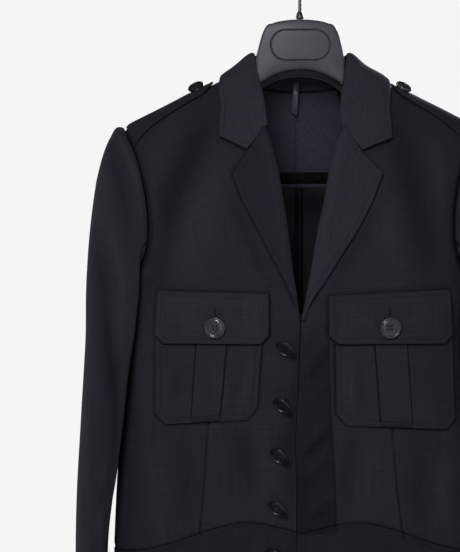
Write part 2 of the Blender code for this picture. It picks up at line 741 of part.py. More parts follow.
def build_stand():
    """The collar's stand behind the neck, from the neckline up to the fold."""
    halves = [pattern_line(BACK_NECKLINE * (side, 1), NECK_STEPS, True) for side in (-1, 1)]
    halves[0][-1, 0] = 0
    neckline = np.vstack([halves[0], halves[1][-2::-1]])
    foot = torso_sheet(neckline, True)[0] + (0, 0, 1.4 * SEAT_GAP)
    rear = [collar_fold(side, 12)[-6:] for side in (-1, 1)]
    fold = along(np.vstack([rear[0], rear[1][-2::-1]]), 2 * NECK_STEPS)
    inward = fold * (1, 1, 0) - (0, 10 * MM, 0)
    inward /= np.linalg.norm(inward, axis=1, keepdims=True)
    head = fold - inward * 3.4 * MM - (0, 0, 2.0 * MM)
    stand = np.array([head, head * 0.5 + foot * 0.5, foot])
    normals = grid_normals(stand)
    facing_out = np.sign(np.sum(normals * inward[None], axis=-1, keepdims=True))
    wall("collar_stand", stand, normals * facing_out, -CLOTH, 0, wool())


def inside_back(x, z):
    """Points on the inner face of the back, clear of the cloth, at a given x and z."""
    points, normals = torso_sheet(pattern(x, z, True), True)
    return points - normals * (CLOTH + INSIDE_GAP), normals


def build_inside():
    """What the open neck shows: the neck facing, the lining below it and the loop."""
    top = along(np.vstack([FACING_TOP * (-1, 1), FACING_TOP[-2::-1]]), 10)
    share = np.linspace(0, 1, 6)[:, None]
    x = top[:, 0] * (1 + 0.6 * share)
    z = (top[:, 1] - FACING_DROP) * (1 - share) + FACING_FOOT_Z * share
    points, normals = inside_back(x, z)
    wall("neck_facing", points, normals, -CLOTH, 0, wool())
    x = x[-1:] * (1 + 0.2 * share)
    z = (FACING_FOOT_Z - SEAM_GAP) * (1 - share) + LINING_FOOT_Z * share
    points, normals = inside_back(x, np.broadcast_to(z, x.shape))
    wall("back_lining", points, normals, -CLOTH, 0, lining_cloth())
    loop_x, loop_z = np.meshgrid(np.array([-6.2, -2.0, 2.2]) * MM, np.linspace(-176, -197, 5) * MM)
    points, normals = inside_back(loop_x, loop_z)
    bow = np.array([0.6, 2.0, 2.6, 1.8, 0.8])[:, None, None] * MM
    points = points - normals * (CLOTH + bow)
    wall("hanging_loop", points, normals, -1.2 * MM, 0, lining_cloth())


def pocket_columns(side):
    """How far across each column of the pocket lies, and how high its cloth is raised."""
    shape = POCKET[side]
    top_inner, top_outer = shape["flap"]
    foot_inner, foot_outer = shape["foot"]
    inset = 3.0 if side < 0 else 6.0
    edge = np.sign(top_outer - top_inner)
    top = [top_inner + edge * inset, top_inner + edge * (inset + POCKET_CHAMFER),
           shape["pleat"][0] - edge * 0.8, shape["pleat"][0],
           shape["pleat"][1], shape["pleat"][1] + edge * 0.8,
           top_outer - edge * (POCKET_CHAMFER + 1), top_outer - edge]
    foot = [foot_inner, foot_inner + edge * POCKET_CHAMFER,
            shape["pleat_foot"][0] - edge * 0.8, shape["pleat_foot"][0],
            shape["pleat_foot"][1], shape["pleat_foot"][1] + edge * 0.8,
            foot_outer - edge * POCKET_CHAMFER, foot_outer]
    raised = [0, 0, 0, 1, 1, 0, 0, 0]
    places = [0, 1, 1.33, 1.67, 2, 3, 3.33, 3.67, 4, 5, 5.33, 5.67, 6, 7]
    return [np.interp(places, range(8), row) for row in (top, foot, raised)]


def build_pocket(side):
    """The patch pocket with its box pleat, and the buttoned flap over it."""
    name = side_name(side)
    top, foot, raised = pocket_columns(side)
    inner_z, outer_z = POCKET_FOOT[side]
    low_z = inner_z + (outer_z - inner_z) * (foot - foot[0]) / (foot[-1] - foot[0])
    low_z[0] += POCKET_CHAMFER
    low_z[-1] += POCKET_CHAMFER
    share = np.linspace(0, 1, 6)[:, None]
    x = (top * (1 - share) + foot * share) * MM
    z = (POCKET_TOP * (1 - share) + low_z * share) * MM
    points, normals = on_front(x, z)
    rise = raised[None, :] * PLEAT_RISE
    wall(f"pocket_{name}", points, normals, SEAT_GAP, SEAT_GAP + CLOTH + rise, wool())
    flap_inner, flap_outer = POCKET[side]["flap"]
    edge = np.sign(flap_outer - flap_inner)
    across = np.r_[0, FLAP_CHAMFER, np.linspace(27, abs(flap_outer - flap_inner) - 27, 6),
                   abs(flap_outer - flap_inner) - FLAP_CHAMFER, abs(flap_outer - flap_inner)]
    flap_x = flap_inner + edge * across
    top_z = np.interp(across, (0, across[-1]), FLAP_TOP[side])
    foot_z = np.full(len(across), FLAP_FOOT)
    foot_z[[0, -1]] += FLAP_CHAMFER
    share = np.array([0, 0.1, 0.22, 0.6, 1.0])[:, None]
    lift = SEAT_GAP + np.array([0, 1.8, 4.0, 4.2, 4.2])[:, None] * MM
    x = np.broadcast_to(flap_x * MM, (5, len(flap_x)))
    z = (top_z * (1 - share) + foot_z * share) * MM
    points, normals = on_front(x, z)
    wall(f"flap_{name}", points, normals, lift, lift + CLOTH, wool())


def build_button(name, radius, centre, direction, shank):
    """A turned button with a raised rim and a dished middle, and a shank behind it."""
    profile = np.array([(0, 0), (0.17, 0), (0.17, 0), (0.80, 0.02), (0.98, 0.11), (1.0, 0.20),
                        (0.93, 0.28), (0.80, 0.24), (0.70, 0.16), (0, 0.14)]) * radius
    profile[:2, 1] = -shank
    segments = 12
    vertices, faces = [(0, 0, profile[0, 1])], []
    for r, z in profile[1:-1]:
        for k in range(segments):
            angle = 2 * math.pi * k / segments
            vertices.append((r * math.cos(angle), r * math.sin(angle), z))
    vertices.append((0, 0, profile[-1, 1]))
    rings = len(profile) - 2
    last = len(vertices) - 1
    for k in range(segments):
        after = (k + 1) % segments
        faces.append([0, 1 + after, 1 + k])
        for ring in range(rings - 1):
            a, b = 1 + ring * segments, 1 + (ring + 1) * segments
            faces.append([a + k, a + after, b + after, b + k])
        top = 1 + (rings - 1) * segments
        faces.append([top + k, top + after, last])
    made = add_mesh(name, vertices, faces, button_stuff())
    turn = Vector((0, 0, 1)).rotation_difference(Vector(direction))
    made.matrix_world = Matrix.Translation(Vector(centre)) @ turn.to_matrix().to_4x4()
    return made


def build_buttons():
    """Two pocket buttons, two on the epaulettes and the row down the front."""
    for side in (-1, 1):
        name = side_name(side)
        point, normal = on_front([POCKET[side]["button"] * MM], [POCKET_BUTTON_Z])
        seat = point[0] + normal[0] * (SEAT_GAP + FLAP_LIFT + CLOTH + SEAT_GAP + FLAT_SHANK)
        build_button(f"button_pocket_{name}", POCKET_BUTTON_RADIUS, seat, normal[0], FLAT_SHANK)
        point, normal = on_shoulder([side * EPAULETTE_BUTTON_X * MM], [0])
        seat = point[0] + normal[0] * (EPAULETTE_LIFT + DOUBLE_CLOTH + SEAT_GAP + FLAT_SHANK)
        build_button(f"button_epaulette_{name}", EPAULETTE_BUTTON_RADIUS, seat, normal[0],
                     FLAT_SHANK)
    for number, (x, z) in enumerate(FRONT_BUTTONS, 1):
        point, normal = on_front([x * MM], [z * MM])
        build_button(f"button_front_{number}", FRONT_BUTTON_RADIUS,
                     point[0] + normal[0] * DROOP_HEIGHT, BUTTON_DROOP, DROOP_SHANK)


def build_epaulette(side):
    """The strap that lies along the shoulder, sewn in at the sleeve and pointed at its tip."""
    outer, tip = EPAULETTE_ENDS[side]
    x = np.r_[np.linspace(outer, tip + 12, 7), tip + 5, tip]
    wide, narrow = EPAULETTE_HALF_WIDTHS
    half = np.interp(x, (tip + 12, outer), (narrow, wide))
    half[-2:] = (narrow * 0.72, narrow * 0.22)
    share = np.linspace(-1, 1, 9)
    grid_x = np.broadcast_to(x[:, None], (len(x), len(share))) * MM
    grid_y = half[:, None] * share[None, :] * MM
    hole = armhole_loop(1, 12)
    front, rear = hole[:7][::-1], hole[[0] + list(range(-1, -7, -1))]
    limit = np.where(grid_y < 0, np.interp(grid_y, front[:, 1], front[:, 0]),
                     np.interp(grid_y, rear[:, 1], rear[:, 0]))
    bend = np.clip((grid_x - 165 * MM) / (outer * MM - 165 * MM), 0, 1)
    grid_x = grid_x - bend * (outer * MM - np.minimum(limit - 1.4 * MM, outer * MM))
    points, normals = on_shoulder(side * grid_x, grid_y)
    wall(f"epaulette_{side_name(side)}", points, normals, EPAULETTE_LIFT,
         EPAULETTE_LIFT + DOUBLE_CLOTH, wool())


def build_hanger():
    """The moulded hanger: neck block, and broad arms that fill the shoulders from inside."""
    x_at = np.concatenate([-HANGER[::-1, 0], HANGER[1:, 0]])
    shares = np.array([-1, -0.86, -0.5, 0, 0.5, 0.86, 1])
    around = 2 * len(shares) - 2
    rings = []
    for x in x_at:
        top, bottom, half_depth = track(HANGER, [abs(x)])[0]
        y = shares * half_depth
        rounding = (1 - np.sqrt(1 - shares**2 * 0.999)) * 8 * MM
        upper = top - rounding
        if abs(x) > ARM_START_X:
            cloth, normals = on_shoulder(np.full(len(y), x), y)
            below = (CLOTH + SEAT_GAP * 2) / normals[:, 2] + 0.4 * MM
            upper = np.minimum(upper, cloth[:, 2] - below)
        lower = bottom + rounding * 0.8
        ring = [(x, y[k], upper[k]) for k in range(len(y))]
        ring[0] = (x, y[0], (upper[0] + lower[0]) / 2)
        ring[-1] = (x, y[-1], (upper[-1] + lower[-1]) / 2)
        ring += [(x, y[k], lower[k]) for k in range(len(y) - 2, 0, -1)]
        rings.append(ring)
    vertices = [p for ring in rings for p in ring]
    faces = []
    for r in range(len(rings) - 1):
        for k in range(around):
            after = (k + 1) % around
            faces.append([r * around + k, r * around + after,
                          (r + 1) * around + after, (r + 1) * around + k])
    faces.append(list(range(around)))
    faces.append([(len(rings) - 1) * around + k for k in reversed(range(around))])
    add_mesh("hanger_body", vertices, faces, hanger_plastic())


def build_face_plate():
    """The plate on the front of the neck block, with a bare oval recess."""
    face_y = -HANGER[0, 3] - SEAM_GAP
    half = np.linspace(0, FACE_PLATE[-1, 0], 8)
    x = np.concatenate([-half[::-1], half[1:]])
    ends = track(FACE_PLATE, np.abs(x))
    share = np.linspace(0, 1, 7)[:, None]
    z = ends[:, 0] * (1 - share) + ends[:, 1] * share
    grid_x = np.broadcast_to(x, z.shape)
    bulge = PLATE_BULGE * (1 - (grid_x / (60 * MM)) ** 2) * (1 - (2 * share - 1) ** 4)
    points = np.stack([grid_x, np.full(z.shape, face_y), z], axis=-1)
    normals = np.broadcast_to(np.array([0.0, -1.0, 0.0]), points.shape)
    plate = wall("hanger_face", points, normals, 0, PLATE_THICKNESS + bulge, hanger_plastic())
    bpy.ops.mesh.primitive_cylinder_add(vertices=40, radius=1, depth=1)
    cutter = bpy.context.object
    cutter.name = "recess_cutter"
    cutter_depth = 20 * MM
    front_y = face_y - PLATE_THICKNESS - PLATE_BULGE
    cutter.scale = (RECESS_HALF_WIDTH, RECESS_HALF_HEIGHT, cutter_depth)
    cutter.rotation_euler = (math.pi / 2, 0, 0)
    cutter.location = (0, front_y + RECESS_DEPTH - cutter_depth / 2, RECESS_Z)
    cutter.hide_render = True
    cutter.display_type = "WIRE"
    cut = plate.modifiers.new("recess", "BOOLEAN")
    cut.operation = "DIFFERENCE"
    cut.solver = "EXACT"
    cut.object = cutter


def add_rod(name, points, radius, stuff, sides_step=2):
    """A round rod along a smooth line of points."""
    curve = bpy.data.curves.new(name, "CURVE")
    curve.dimensions = "3D"
    curve.bevel_depth = radius
    curve.bevel_resolution = sides_step
    curve.use_fill_caps = True
    spline = curve.splines.new("POLY")
    spline.points.add(len(points) - 1)
    for place, point in zip(spline.points, points):
        place.co = (*point, 1)
    curve.materials.append(stuff)
    made = bpy.data.objects.new(name, curve)
    bpy.context.scene.collection.objects.link(made)
    return made


def build_bar_and_hook():
    """The trouser bar, turned up into the arms, and the steel hook."""
    left = [(-BAR_REACH, 0, BAR_END_Z), (-BAR_REACH, 0, BAR_Z + BAR_BEND)]
    for k in range(1, 5):
        angle = math.pi / 2 * k / 4
        left.append((-BAR_REACH + BAR_BEND * (1 - math.cos(angle)), 0,
                     BAR_Z + BAR_BEND * (1 - math.sin(angle))))
    points = left[:]
    points += [(x * MM, 0, BAR_Z) for x in (-70, 0, 70)]
    points += [(-p[0], 0, p[2]) for p in reversed(left)]
    velvet = material("Black bar", (0.006, 0.006, 0.008), 0.9)
    add_rod("trouser_bar", points, BAR_RADIUS, velvet)
    steel = material("Dark steel hook", (0.10, 0.10, 0.11), 0.3, 1.0)
    centre_z = HOOK_ROD_RADIUS - HOOK_RADIUS
    path = [(0, 0, BLOCK_TOP_Z + SEAM_GAP), (0, 0, centre_z - HOOK_RADIUS - 16 * MM)]
    start = math.radians(-62)
    for k in range(15):
        angle = start + (math.radians(196) - start) * k / 14
        path.append((HOOK_RADIUS * math.cos(angle), 0, centre_z + HOOK_RADIUS * math.sin(angle)))
    add_rod("hook", path, HOOK_ROD_RADIUS, steel, 1)


def build():
    clear_scene()
    for side in (-1, 1):
        build_front(side)
        build_back(side)
        build_skirts(side)
        build_sleeve(side)
        build_lapel(side)
        build_pocket(side)
        build_epaulette(side)
    build_collar()
    build_inside()
    build_buttons()
    build_hanger()
    build_face_plate()
    build_bar_and_hook()


build()
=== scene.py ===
# %% [markdown]
# An officer blazer on its hanger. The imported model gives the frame: where each cut piece lies, and
# how thick it is. This script sews the visible cloth over that frame. Each piece is a fine grid
# laid on the same surface as its solid, pressed and creased as worn wool is, with its stitches,
# buttons and hanger. +X is the viewer's right, the front looks along -Y, and +Z is up.

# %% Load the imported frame
import math

import bmesh
import bpy
import numpy as np
from mathutils import Matrix, Vector
from mathutils.bvhtree import BVHTree


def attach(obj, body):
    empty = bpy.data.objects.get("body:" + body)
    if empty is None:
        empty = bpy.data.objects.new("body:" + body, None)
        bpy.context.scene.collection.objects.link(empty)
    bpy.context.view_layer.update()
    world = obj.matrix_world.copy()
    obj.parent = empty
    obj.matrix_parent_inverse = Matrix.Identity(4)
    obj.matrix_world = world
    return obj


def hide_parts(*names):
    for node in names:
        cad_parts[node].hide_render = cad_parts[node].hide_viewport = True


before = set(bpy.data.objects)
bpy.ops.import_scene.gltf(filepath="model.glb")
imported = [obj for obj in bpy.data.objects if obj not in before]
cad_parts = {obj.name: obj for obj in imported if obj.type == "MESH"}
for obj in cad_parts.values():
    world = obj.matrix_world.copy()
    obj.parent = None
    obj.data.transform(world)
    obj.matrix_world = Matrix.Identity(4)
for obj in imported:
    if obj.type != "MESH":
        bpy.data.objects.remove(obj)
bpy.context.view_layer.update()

MM = 0.001

# %% [markdown]
# The photograph was taken from straight in front with a long lens. The camera stands 2.4 m from
# the hanger, level with the middle of the picture, and its lens is worked out from how many
# millimetres one pixel covers in the plane of the hanger.

# %% The camera at the photograph's angle
PICTURE_SIZE = (460, 552)
MM_PER_PIXEL = 1.1791
PICTURE_CENTRE = (-82.3, -393.0)
CAMERA_DISTANCE = 2400.0
camera_data = bpy.data.cameras.new("photo_camera")
camera_data.sensor_width = 36.0
camera_data.lens = 36.0 * CAMERA_DISTANCE / (PICTURE_SIZE[1] * MM_PER_PIXEL)
camera_data.clip_end = 60.0
camera = bpy.data.objects.new("photo_camera", camera_data)
camera.location = (PICTURE_CENTRE[0] * MM, -CAMERA_DISTANCE * MM, PICTURE_CENTRE[1] * MM)
camera.rotation_euler = (math.pi / 2, 0, 0)
bpy.context.scene.collection.objects.link(camera)
bpy.context.scene.camera = camera
print("lens in mm:", round(camera_data.lens, 1))

# %% [markdown]
# The cut of the blazer is held in the short tables that the solids were made from. Every one is in
# millimetres, and the first column is what the others are read against: a height, or a distance
# from the centre line.

# %% The cut: body, armhole, front edges and waist seam
CLOTH = 2.0
DOUBLE_CLOTH = 2.6
SEAM_GAP = 0.3
SEAT_GAP = 0.5
INSIDE_GAP = 2.35
CHEST_Z = -360
LEVEL_STEP = 200
HEM_Z = -850
UNDERARM_Z = -402
CUFF_Z = -845
SLEEVE_RING_Z = -424
SHOULDER_NEAR_NECK = np.array((72, -152))
SHOULDER_SLOPE = 0.505
SHOULDER_END_X = 206
WAIST_HALF_WIDTH = 219
FRONT_WAIST_Z = -686
FRONT_FULLNESS = 2.3
BACK_FULLNESS = 2.8
FRONT_ARCH = (1.7, 1.4)
BACK_ARCH = (2.2, 1.8)

# Columns: height, half width, depth of the front, depth of the back
TORSO = np.array([
    (-300, 210, 105, 72), (-360, 210, 105, 72), (-402, 211, 106, 72), (-450, 207, 105, 70),
    (-500, 205.5, 103, 68), (-560, 210.5, 100, 66), (-590, 213, 98.5, 66), (-620, 215.1, 97, 66),
    (-690, 218.5, 94, 68),
    (-780, 221, 95, 73), (-860, 220, 97, 78)])

# Columns: height, distance from the centre of the armhole on the front, and on the back
ARMHOLE = np.array([
    (-222, 206, 206), (-232, 201.5, 202), (-251, 192.7, 195), (-278, 184.6, 188),
    (-308, 178.6, 184), (-335, 176.5, 183), (-363, 178.5, 187), (-384, 187, 195),
    (-397, 200, 205), (-402, 211, 211)])

# Columns: height, where the lapel and collar roll, viewer's left and viewer's right
ROLL_LINE = np.array([
    (-216, -38, 41.3), (-245, -32.3, 35.6), (-277, -25.5, 28.5), (-307, -20.5, 23.0),
    (-335, -16.2, 16.6), (-380, -10.8, 8.7), (-429, -5.0, 1.0), (-446, -3.0, -2.2)])

# Columns: height, where the two front edges meet
FRONT_EDGE = np.array([
    (-446, -2.6), (-521, -5.0), (-578, -8.0), (-627, -7.3), (-683, -7.1), (-760, -6.3),
    (-860, -6.0)])

# Columns: height, free edge of the lapel, viewer's left and viewer's right
LAPEL_EDGE = np.array([
    (-276, -80, 92), (-301, -71.5, 82.4), (-338, -52.5, 64), (-368, -37, 45),
    (-400, -20, 24.6), (-424, -9.4, 8.2), (-444, -4.6, 0.6)])

# Columns: distance from the centre line, height of the seam at the waist
WAIST_SEAM = np.array([
    (0, -685), (20, -680), (45, -674.5), (67, -673), (93, -678), (118, -686), (140, -694.5),
    (165, -703), (190, -709), (222, -712)])

# %% The cut: sleeves, collar, pockets, buttons and hanger
# Columns: height, outer x, inner x beside the body, reach round the front, reach round the back,
# centre y, half depth
SLEEVE = np.array([
    (-400, 251.6, 215.5, 47, 14, -3, 73), (-424, 252.0, 213.5, 42, 14, -2, 73),
    (-460, 252.3, 211.0, 36, 13, 0, 72.5), (-500, 254.4, 209.3, 28, 12, 2, 72),
    (-540, 256.8, 209.8, 24, 11, 2, 71), (-580, 259.0, 213.9, 22.5, 10, 1, 70),
    (-620, 261.2, 216.6, 19.5, 9, -2, 68.5), (-660, 262.7, 222.2, 16.5, 8, -5, 67),
    (-700, 263.2, 226.5, 14.5, 7, -9, 65.5), (-760, 263.0, 227.5, 13, 6, -14, 63.5),
    (-845, 263.5, 228.5, 12, 5, -20, 62)])

# Columns: height, where the collar folds at the viewer's left and right, y of the fold
COLLAR_FOLD = np.array([
    (-222, -41.0, 46.8, -70), (-203, -42.5, 46.0, -57), (-185, -45.2, 47.5, -45),
    (-166, -49.4, 51.6, -32), (-147, -52.4, 54.2, -18), (-131.5, -54.8, 57.0, -3)])

# Columns: share of the neck's width, y and z of the fold behind the shoulder
COLLAR_BACK = ((0.98, 13, -131.8), (0.84, 31, -134), (0.50, 42, -136.5), (0.0, 46, -138))

# The corners of the collar's front end and of the lapel's upper end, as x and z
COLLAR_END = {-1: ((-41.0, -222.0), (-62.0, -250.0), (-93.4, -235.0)),
              1: ((46.8, -220.5), (67.7, -250.2), (103.0, -236.5))}
LAPEL_END = {-1: ((-40.8, -222.2), (-61.8, -250.2), (-80.0, -275.0)),
             1: ((46.6, -220.7), (67.5, -250.4), (92.0, -276.0))}

# Pocket outlines, as x of the inner and outer edge at the flap and at the foot
POCKET = {-1: {"flap": (-38.5, -169.0), "foot": (-51.5, -168.5), "pleat": (-82.4, -116.7),
               "pleat_foot": (-94.8, -126.5), "button": -99.6, "inset": 4.8},
          1: {"flap": (29.0, 174.0), "foot": (38.0, 178.0), "pleat": (78.7, 115.1),
              "pleat_foot": (89.5, 125), "button": 98.8, "inset": 7.0}}
FLAP_TOP = {-1: (-413.0, -409.5), 1: (-415.5, -408.0)}
FLAP_FOOT = -470.0
# How much narrower the flap is at its top, on the side towards the sleeve
FLAP_SLANT = {-1: 3.0, 1: 3.6}
FLAP_CHAMFER = 10.0
FLAP_LIFT = 4.2
POCKET_TOP = -429.0
POCKET_FOOT = {-1: (-554.5, -563.0), 1: (-561.0, -569.0)}
POCKET_CHAMFER = 12.0
PLEAT_RISE = 1.4

# Centre and height of each button on the viewer's left front edge
FRONT_BUTTONS = ((-20.0, -475.1), (-23.7, -539.2), (-27.0, -596.1), (-29.1, -655.4),
                 (-31.8, -709.4))
BUTTON_DROOP = Vector((-0.47, -0.61, -0.64)).normalized()
FRONT_BUTTON_RADIUS = 11.8
POCKET_BUTTON_RADIUS = 12.0
EPAULETTE_BUTTON_RADIUS = 10.0
DROOP_HEIGHT = 9.0
DROOP_SHANK = 9.0
FLAT_SHANK = 1.2
POCKET_BUTTON_Z = -451.3

EPAULETTE_ENDS = {-1: (205.0, 101.0), 1: (205.0, 105.5)}
EPAULETTE_HALF_WIDTHS = (23.0, 19.0)
EPAULETTE_BUTTON_X = 119.5
EPAULETTE_LIFT = 1.1

# The neckline on the back, from the shoulder seam to the centre
BACK_NECKLINE = np.array([(72, -152), (52, -166), (26, -171), (0, -172)])
FACING_FOOT_Z = -286
FACING_TOP = np.array([(46, -168), (26, -171), (0, -172)])
LINING_FOOT_Z = -530

# Columns: distance from the centre, top and bottom of the hanger, its half depth
HANGER = np.array([
    (0, -91, -158, 14), (16, -92, -159.5, 14), (32, -95.5, -164, 14), (41, -101, -169, 14),
    (46, -113, -173, 14), (50, -128, -176, 14), (54, -142, -179, 14), (62, -156, -183, 12),
    (72, -161, -187.5, 13), (84, -167.5, -193, 15), (110, -178.5, -206, 18),
    (150, -199, -226, 21.5), (180, -214.5, -237, 19), (187, -219.5, -236, 16),
    (191, -224, -233, 9)])

# Columns: distance from the centre, top and bottom of the hanger's face plate
FACE_PLATE = np.array([
    (0, -93, -151.5), (16, -94, -153.5), (32, -97.5, -159), (41, -102.5, -164),
    (46, -114.5, -167), (49.5, -130, -169.0), (51.5, -140, -163)])
print("cut tables:", len(TORSO), "levels of the body and", len(SLEEVE), "of the sleeve")

# %% [markdown]
# A few small formulas come back in every piece: a bell curve for a soft ridge or trough, a direction
# of length 1, a step that starts and ends gently, and a curve that leaves one point and reaches
# another in given directions. SIDE and COLUMN tell the viewer's left (-1) from the right (1).

# %% Small helpers
SIDE = {-1: "left", 1: "right"}
COLUMN = {-1: 1, 1: 2}


def bell(distance, width):
    return np.exp(-(distance / width) ** 2)


def unit(run):
    return run / np.maximum(np.linalg.norm(run, axis=-1, keepdims=True), 1e-12)


def smooth(share):
    return share * share * (3 - 2 * share)


def curve(start, start_pull, end, end_pull, s):
    return (start * (2 * s**3 - 3 * s**2 + 1) + start_pull * (s**3 - 2 * s**2 + s)
            + end * (3 * s**2 - 2 * s**3) + end_pull * (s**3 - s**2))


def show(name, data):
    """Puts a mesh, light or camera into the scene as an object at the origin."""
    shown = bpy.data.objects.new(name, data)
    bpy.context.scene.collection.objects.link(shown)
    return shown


print("a ridge 10 mm wide is down to", round(float(bell(10.0, 10.0)), 2), "of its height 10 mm away")

# %% [markdown]
# A tailor's block turns flat cloth into a body by a few sections. Here each level of the body is a
# rounded box, and above the chest the depth closes over the shoulder line as an arch does. A point
# of the cloth is named by its turn, 0 at the centre line and 1 at the side seam, and by its level,
# 0 on the shoulder and 1 at the chest. The same functions made the solids, so the fine cloth lies
# exactly on them.

# %% The surface of the body


def track(rows, at):
    """Each column after the first, read at the given values of the first column."""
    rows = rows if rows[0, 0] < rows[-1, 0] else rows[::-1]
    knots = rows[:, 0].astype(float)
    values = rows[:, 1:].astype(float)
    slopes = np.gradient(values, knots, axis=0)
    at = np.clip(np.atleast_1d(np.asarray(at, float)), knots[0], knots[-1])
    cell = np.clip(np.searchsorted(knots, at) - 1, 0, len(knots) - 2)
    width = (knots[cell + 1] - knots[cell])[:, None]
    step = (at - knots[cell])[:, None] / width
    return curve(values[cell], slopes[cell] * width, values[cell + 1], slopes[cell + 1] * width, step)


def shoulder_line(x):
    """Height of the shoulder line at a distance from the centre."""
    return SHOULDER_NEAR_NECK[1] - SHOULDER_SLOPE * (np.abs(x) - SHOULDER_NEAR_NECK[0])


def torso(turn, level, back=False):
    """Points on the outside of the body of the blazer; a turn below 0 is the viewer's left."""
    turn, level = np.broadcast_arrays(np.asarray(turn, float), np.asarray(level, float))
    height = CHEST_Z - np.maximum(level - 1, 0) * LEVEL_STEP
    rows = track(TORSO, height.ravel())
    half_width = rows[:, 0].reshape(turn.shape)
    depth = rows[:, 2 if back else 1].reshape(turn.shape)
    fullness = BACK_FULLNESS if back else FRONT_FULLNESS
    arch_depth, arch_rise = BACK_ARCH if back else FRONT_ARCH
    angle = np.clip(np.abs(turn), 0, 1) * math.pi / 2
    x = half_width * np.sin(angle) ** (2 / fullness)
    y = depth * np.cos(angle) ** (2 / fullness)
    climb = np.clip(1 - level, 0, 1) * math.pi / 2
    y = y * np.maximum(np.cos(climb), 0) ** (2 / arch_depth)
    rise = (shoulder_line(x) - CHEST_Z) * np.sin(climb) ** (2 / arch_rise)
    z = np.where(level < 1, CHEST_Z + rise, height)
    return np.stack([np.where(turn < 0, -x, x), y if back else -y, z], axis=-1)


def pattern(x, z, back=False):
    """The turns and levels of the cloth seen at x and z."""
    x, z = np.broadcast_arrays(np.asarray(x, float), np.asarray(z, float))
    half_width = track(TORSO, np.minimum(z, CHEST_Z).ravel())[:, 0].reshape(x.shape)
    fullness = BACK_FULLNESS if back else FRONT_FULLNESS
    arch_rise = (BACK_ARCH if back else FRONT_ARCH)[1]
    share = np.clip(np.abs(x) / half_width, 0, 1)
    turn = np.arcsin(share ** (fullness / 2)) / (math.pi / 2)
    lift = np.clip((z - CHEST_Z) / (shoulder_line(x) - CHEST_Z), 0, 1)
    climb = np.arcsin(lift ** (arch_rise / 2))
    level = np.where(z > CHEST_Z, 1 - climb / (math.pi / 2), 1 + (CHEST_Z - z) / LEVEL_STEP)
    return np.stack([np.where(x < 0, -turn, turn), level], axis=-1)


def torso_sheet(place, back=False):
    """Points and outward directions of the cloth for a grid of turns and levels."""
    turn, level = place[..., 0], place[..., 1]
    step = 0.004
    near_turn = np.clip(turn, step * 1.5 - 1, 1 - step * 1.5)
    near_level = np.maximum(level, step * 1.5)
    across = (torso(near_turn + step, near_level, back)
              - torso(near_turn - step, near_level, back))
    down = (torso(near_turn, near_level + step, back)
            - torso(near_turn, near_level - step, back))
    normals = np.cross(across, down) if back else np.cross(down, across)
    return torso(turn, level, back), unit(normals)


def on_front(x, z):
    """Points and outward directions on the front at the x and z that the viewer sees."""
    return torso_sheet(pattern(x, z))


def above_front(x, z, lift):
    """As on_front, but for what is raised by lift and must still be seen at x and z."""
    normals = on_front(x, z)[1]
    return on_front(x - normals[..., 0] * lift, z - normals[..., 2] * lift)


def crest_normals(x):
    """The outward direction on the shoulder line itself."""
    up = np.array([SHOULDER_SLOPE, 0, 1]) / math.hypot(SHOULDER_SLOPE, 1)
    return np.where((np.asarray(x) < 0)[..., None], up * (-1, 1, 1), up)


def on_shoulder(x, y):
    """Points and outward directions over the shoulder at a given x and y."""
    x, y = np.broadcast_arrays(np.asarray(x, float), np.asarray(y, float))
    chest = track(TORSO, [CHEST_Z])[0]
    share = np.clip(np.abs(x) / chest[0], 0, 1)
    points, normals = np.zeros(x.shape + (3,)), np.zeros(x.shape + (3,))
    for back in (False, True):
        fullness = BACK_FULLNESS if back else FRONT_FULLNESS
        arch_depth = (BACK_ARCH if back else FRONT_ARCH)[0]
        turn = np.arcsin(share ** (fullness / 2)) / (math.pi / 2)
        depth = chest[2 if back else 1] * np.cos(turn * math.pi / 2) ** (2 / fullness)
        climb = np.arccos(np.clip(np.abs(y) / depth, 0, 1) ** (arch_depth / 2))
        place = np.stack([np.where(x < 0, -turn, turn), 1 - climb / (math.pi / 2)], axis=-1)
        half_points, half_normals = torso_sheet(place, back)
        use = (y > 0) == back
        points[use], normals[use] = half_points[use], half_normals[use]
    near_top = np.clip(1 - np.abs(y) / 6, 0, 1)[..., None]
    normals = normals * (1 - near_top) + crest_normals(x) * near_top
    return points, unit(normals)


# %% [markdown]
# A pattern piece is drawn by its edges, and the cloth between them is filled in. The next helpers
# spread points along an edge, fill four edges with a grid, and space the grid closely where an
# edge is turned and stitched, so that the ridge and the ditch of the stitching have real form.

# %% Edges, patches and spacing


def along(points, count):
    """Points spread evenly along a smooth line through the given ones."""
    points = np.asarray(points, float)
    lengths = np.r_[0, np.cumsum(np.linalg.norm(np.diff(points, axis=0), axis=1))]
    if len(points) == 2:
        fine = points[0] + np.linspace(0, 1, 60)[:, None] * (points[1] - points[0])
    else:
        fine = track(np.column_stack([lengths, points]), np.linspace(0, lengths[-1], 400))
    travelled = np.r_[0, np.cumsum(np.linalg.norm(np.diff(fine, axis=0), axis=1))]
    shares = np.linspace(0, 1, count + 1) if np.isscalar(count) else np.asarray(count)
    wanted = shares * travelled[-1]
    return np.column_stack([np.interp(wanted, travelled, fine[:, k]) for k in range(fine.shape[1])])


def patch(top, bottom, inner, outer, down=None, across=None):
    """Fills four edges with a grid, rows running down and columns from inner to outer."""
    down = np.linspace(0, 1, len(inner)) if down is None else down
    across = np.linspace(0, 1, len(top)) if across is None else across
    down, across = down[:, None, None], across[None, :, None]
    sides = (1 - across) * inner[:, None] + across * outer[:, None]
    ends = (1 - down) * top[None] + down * bottom[None]
    corners = ((1 - down) * (1 - across) * top[0] + (1 - down) * across * top[-1]
               + down * (1 - across) * bottom[0] + down * across * bottom[-1])
    return sides + ends - corners


def joined(*lines):
    """Runs several lines together, leaving out the doubled points."""
    return np.vstack([lines[0]] + [line[1:] for line in lines[1:]])


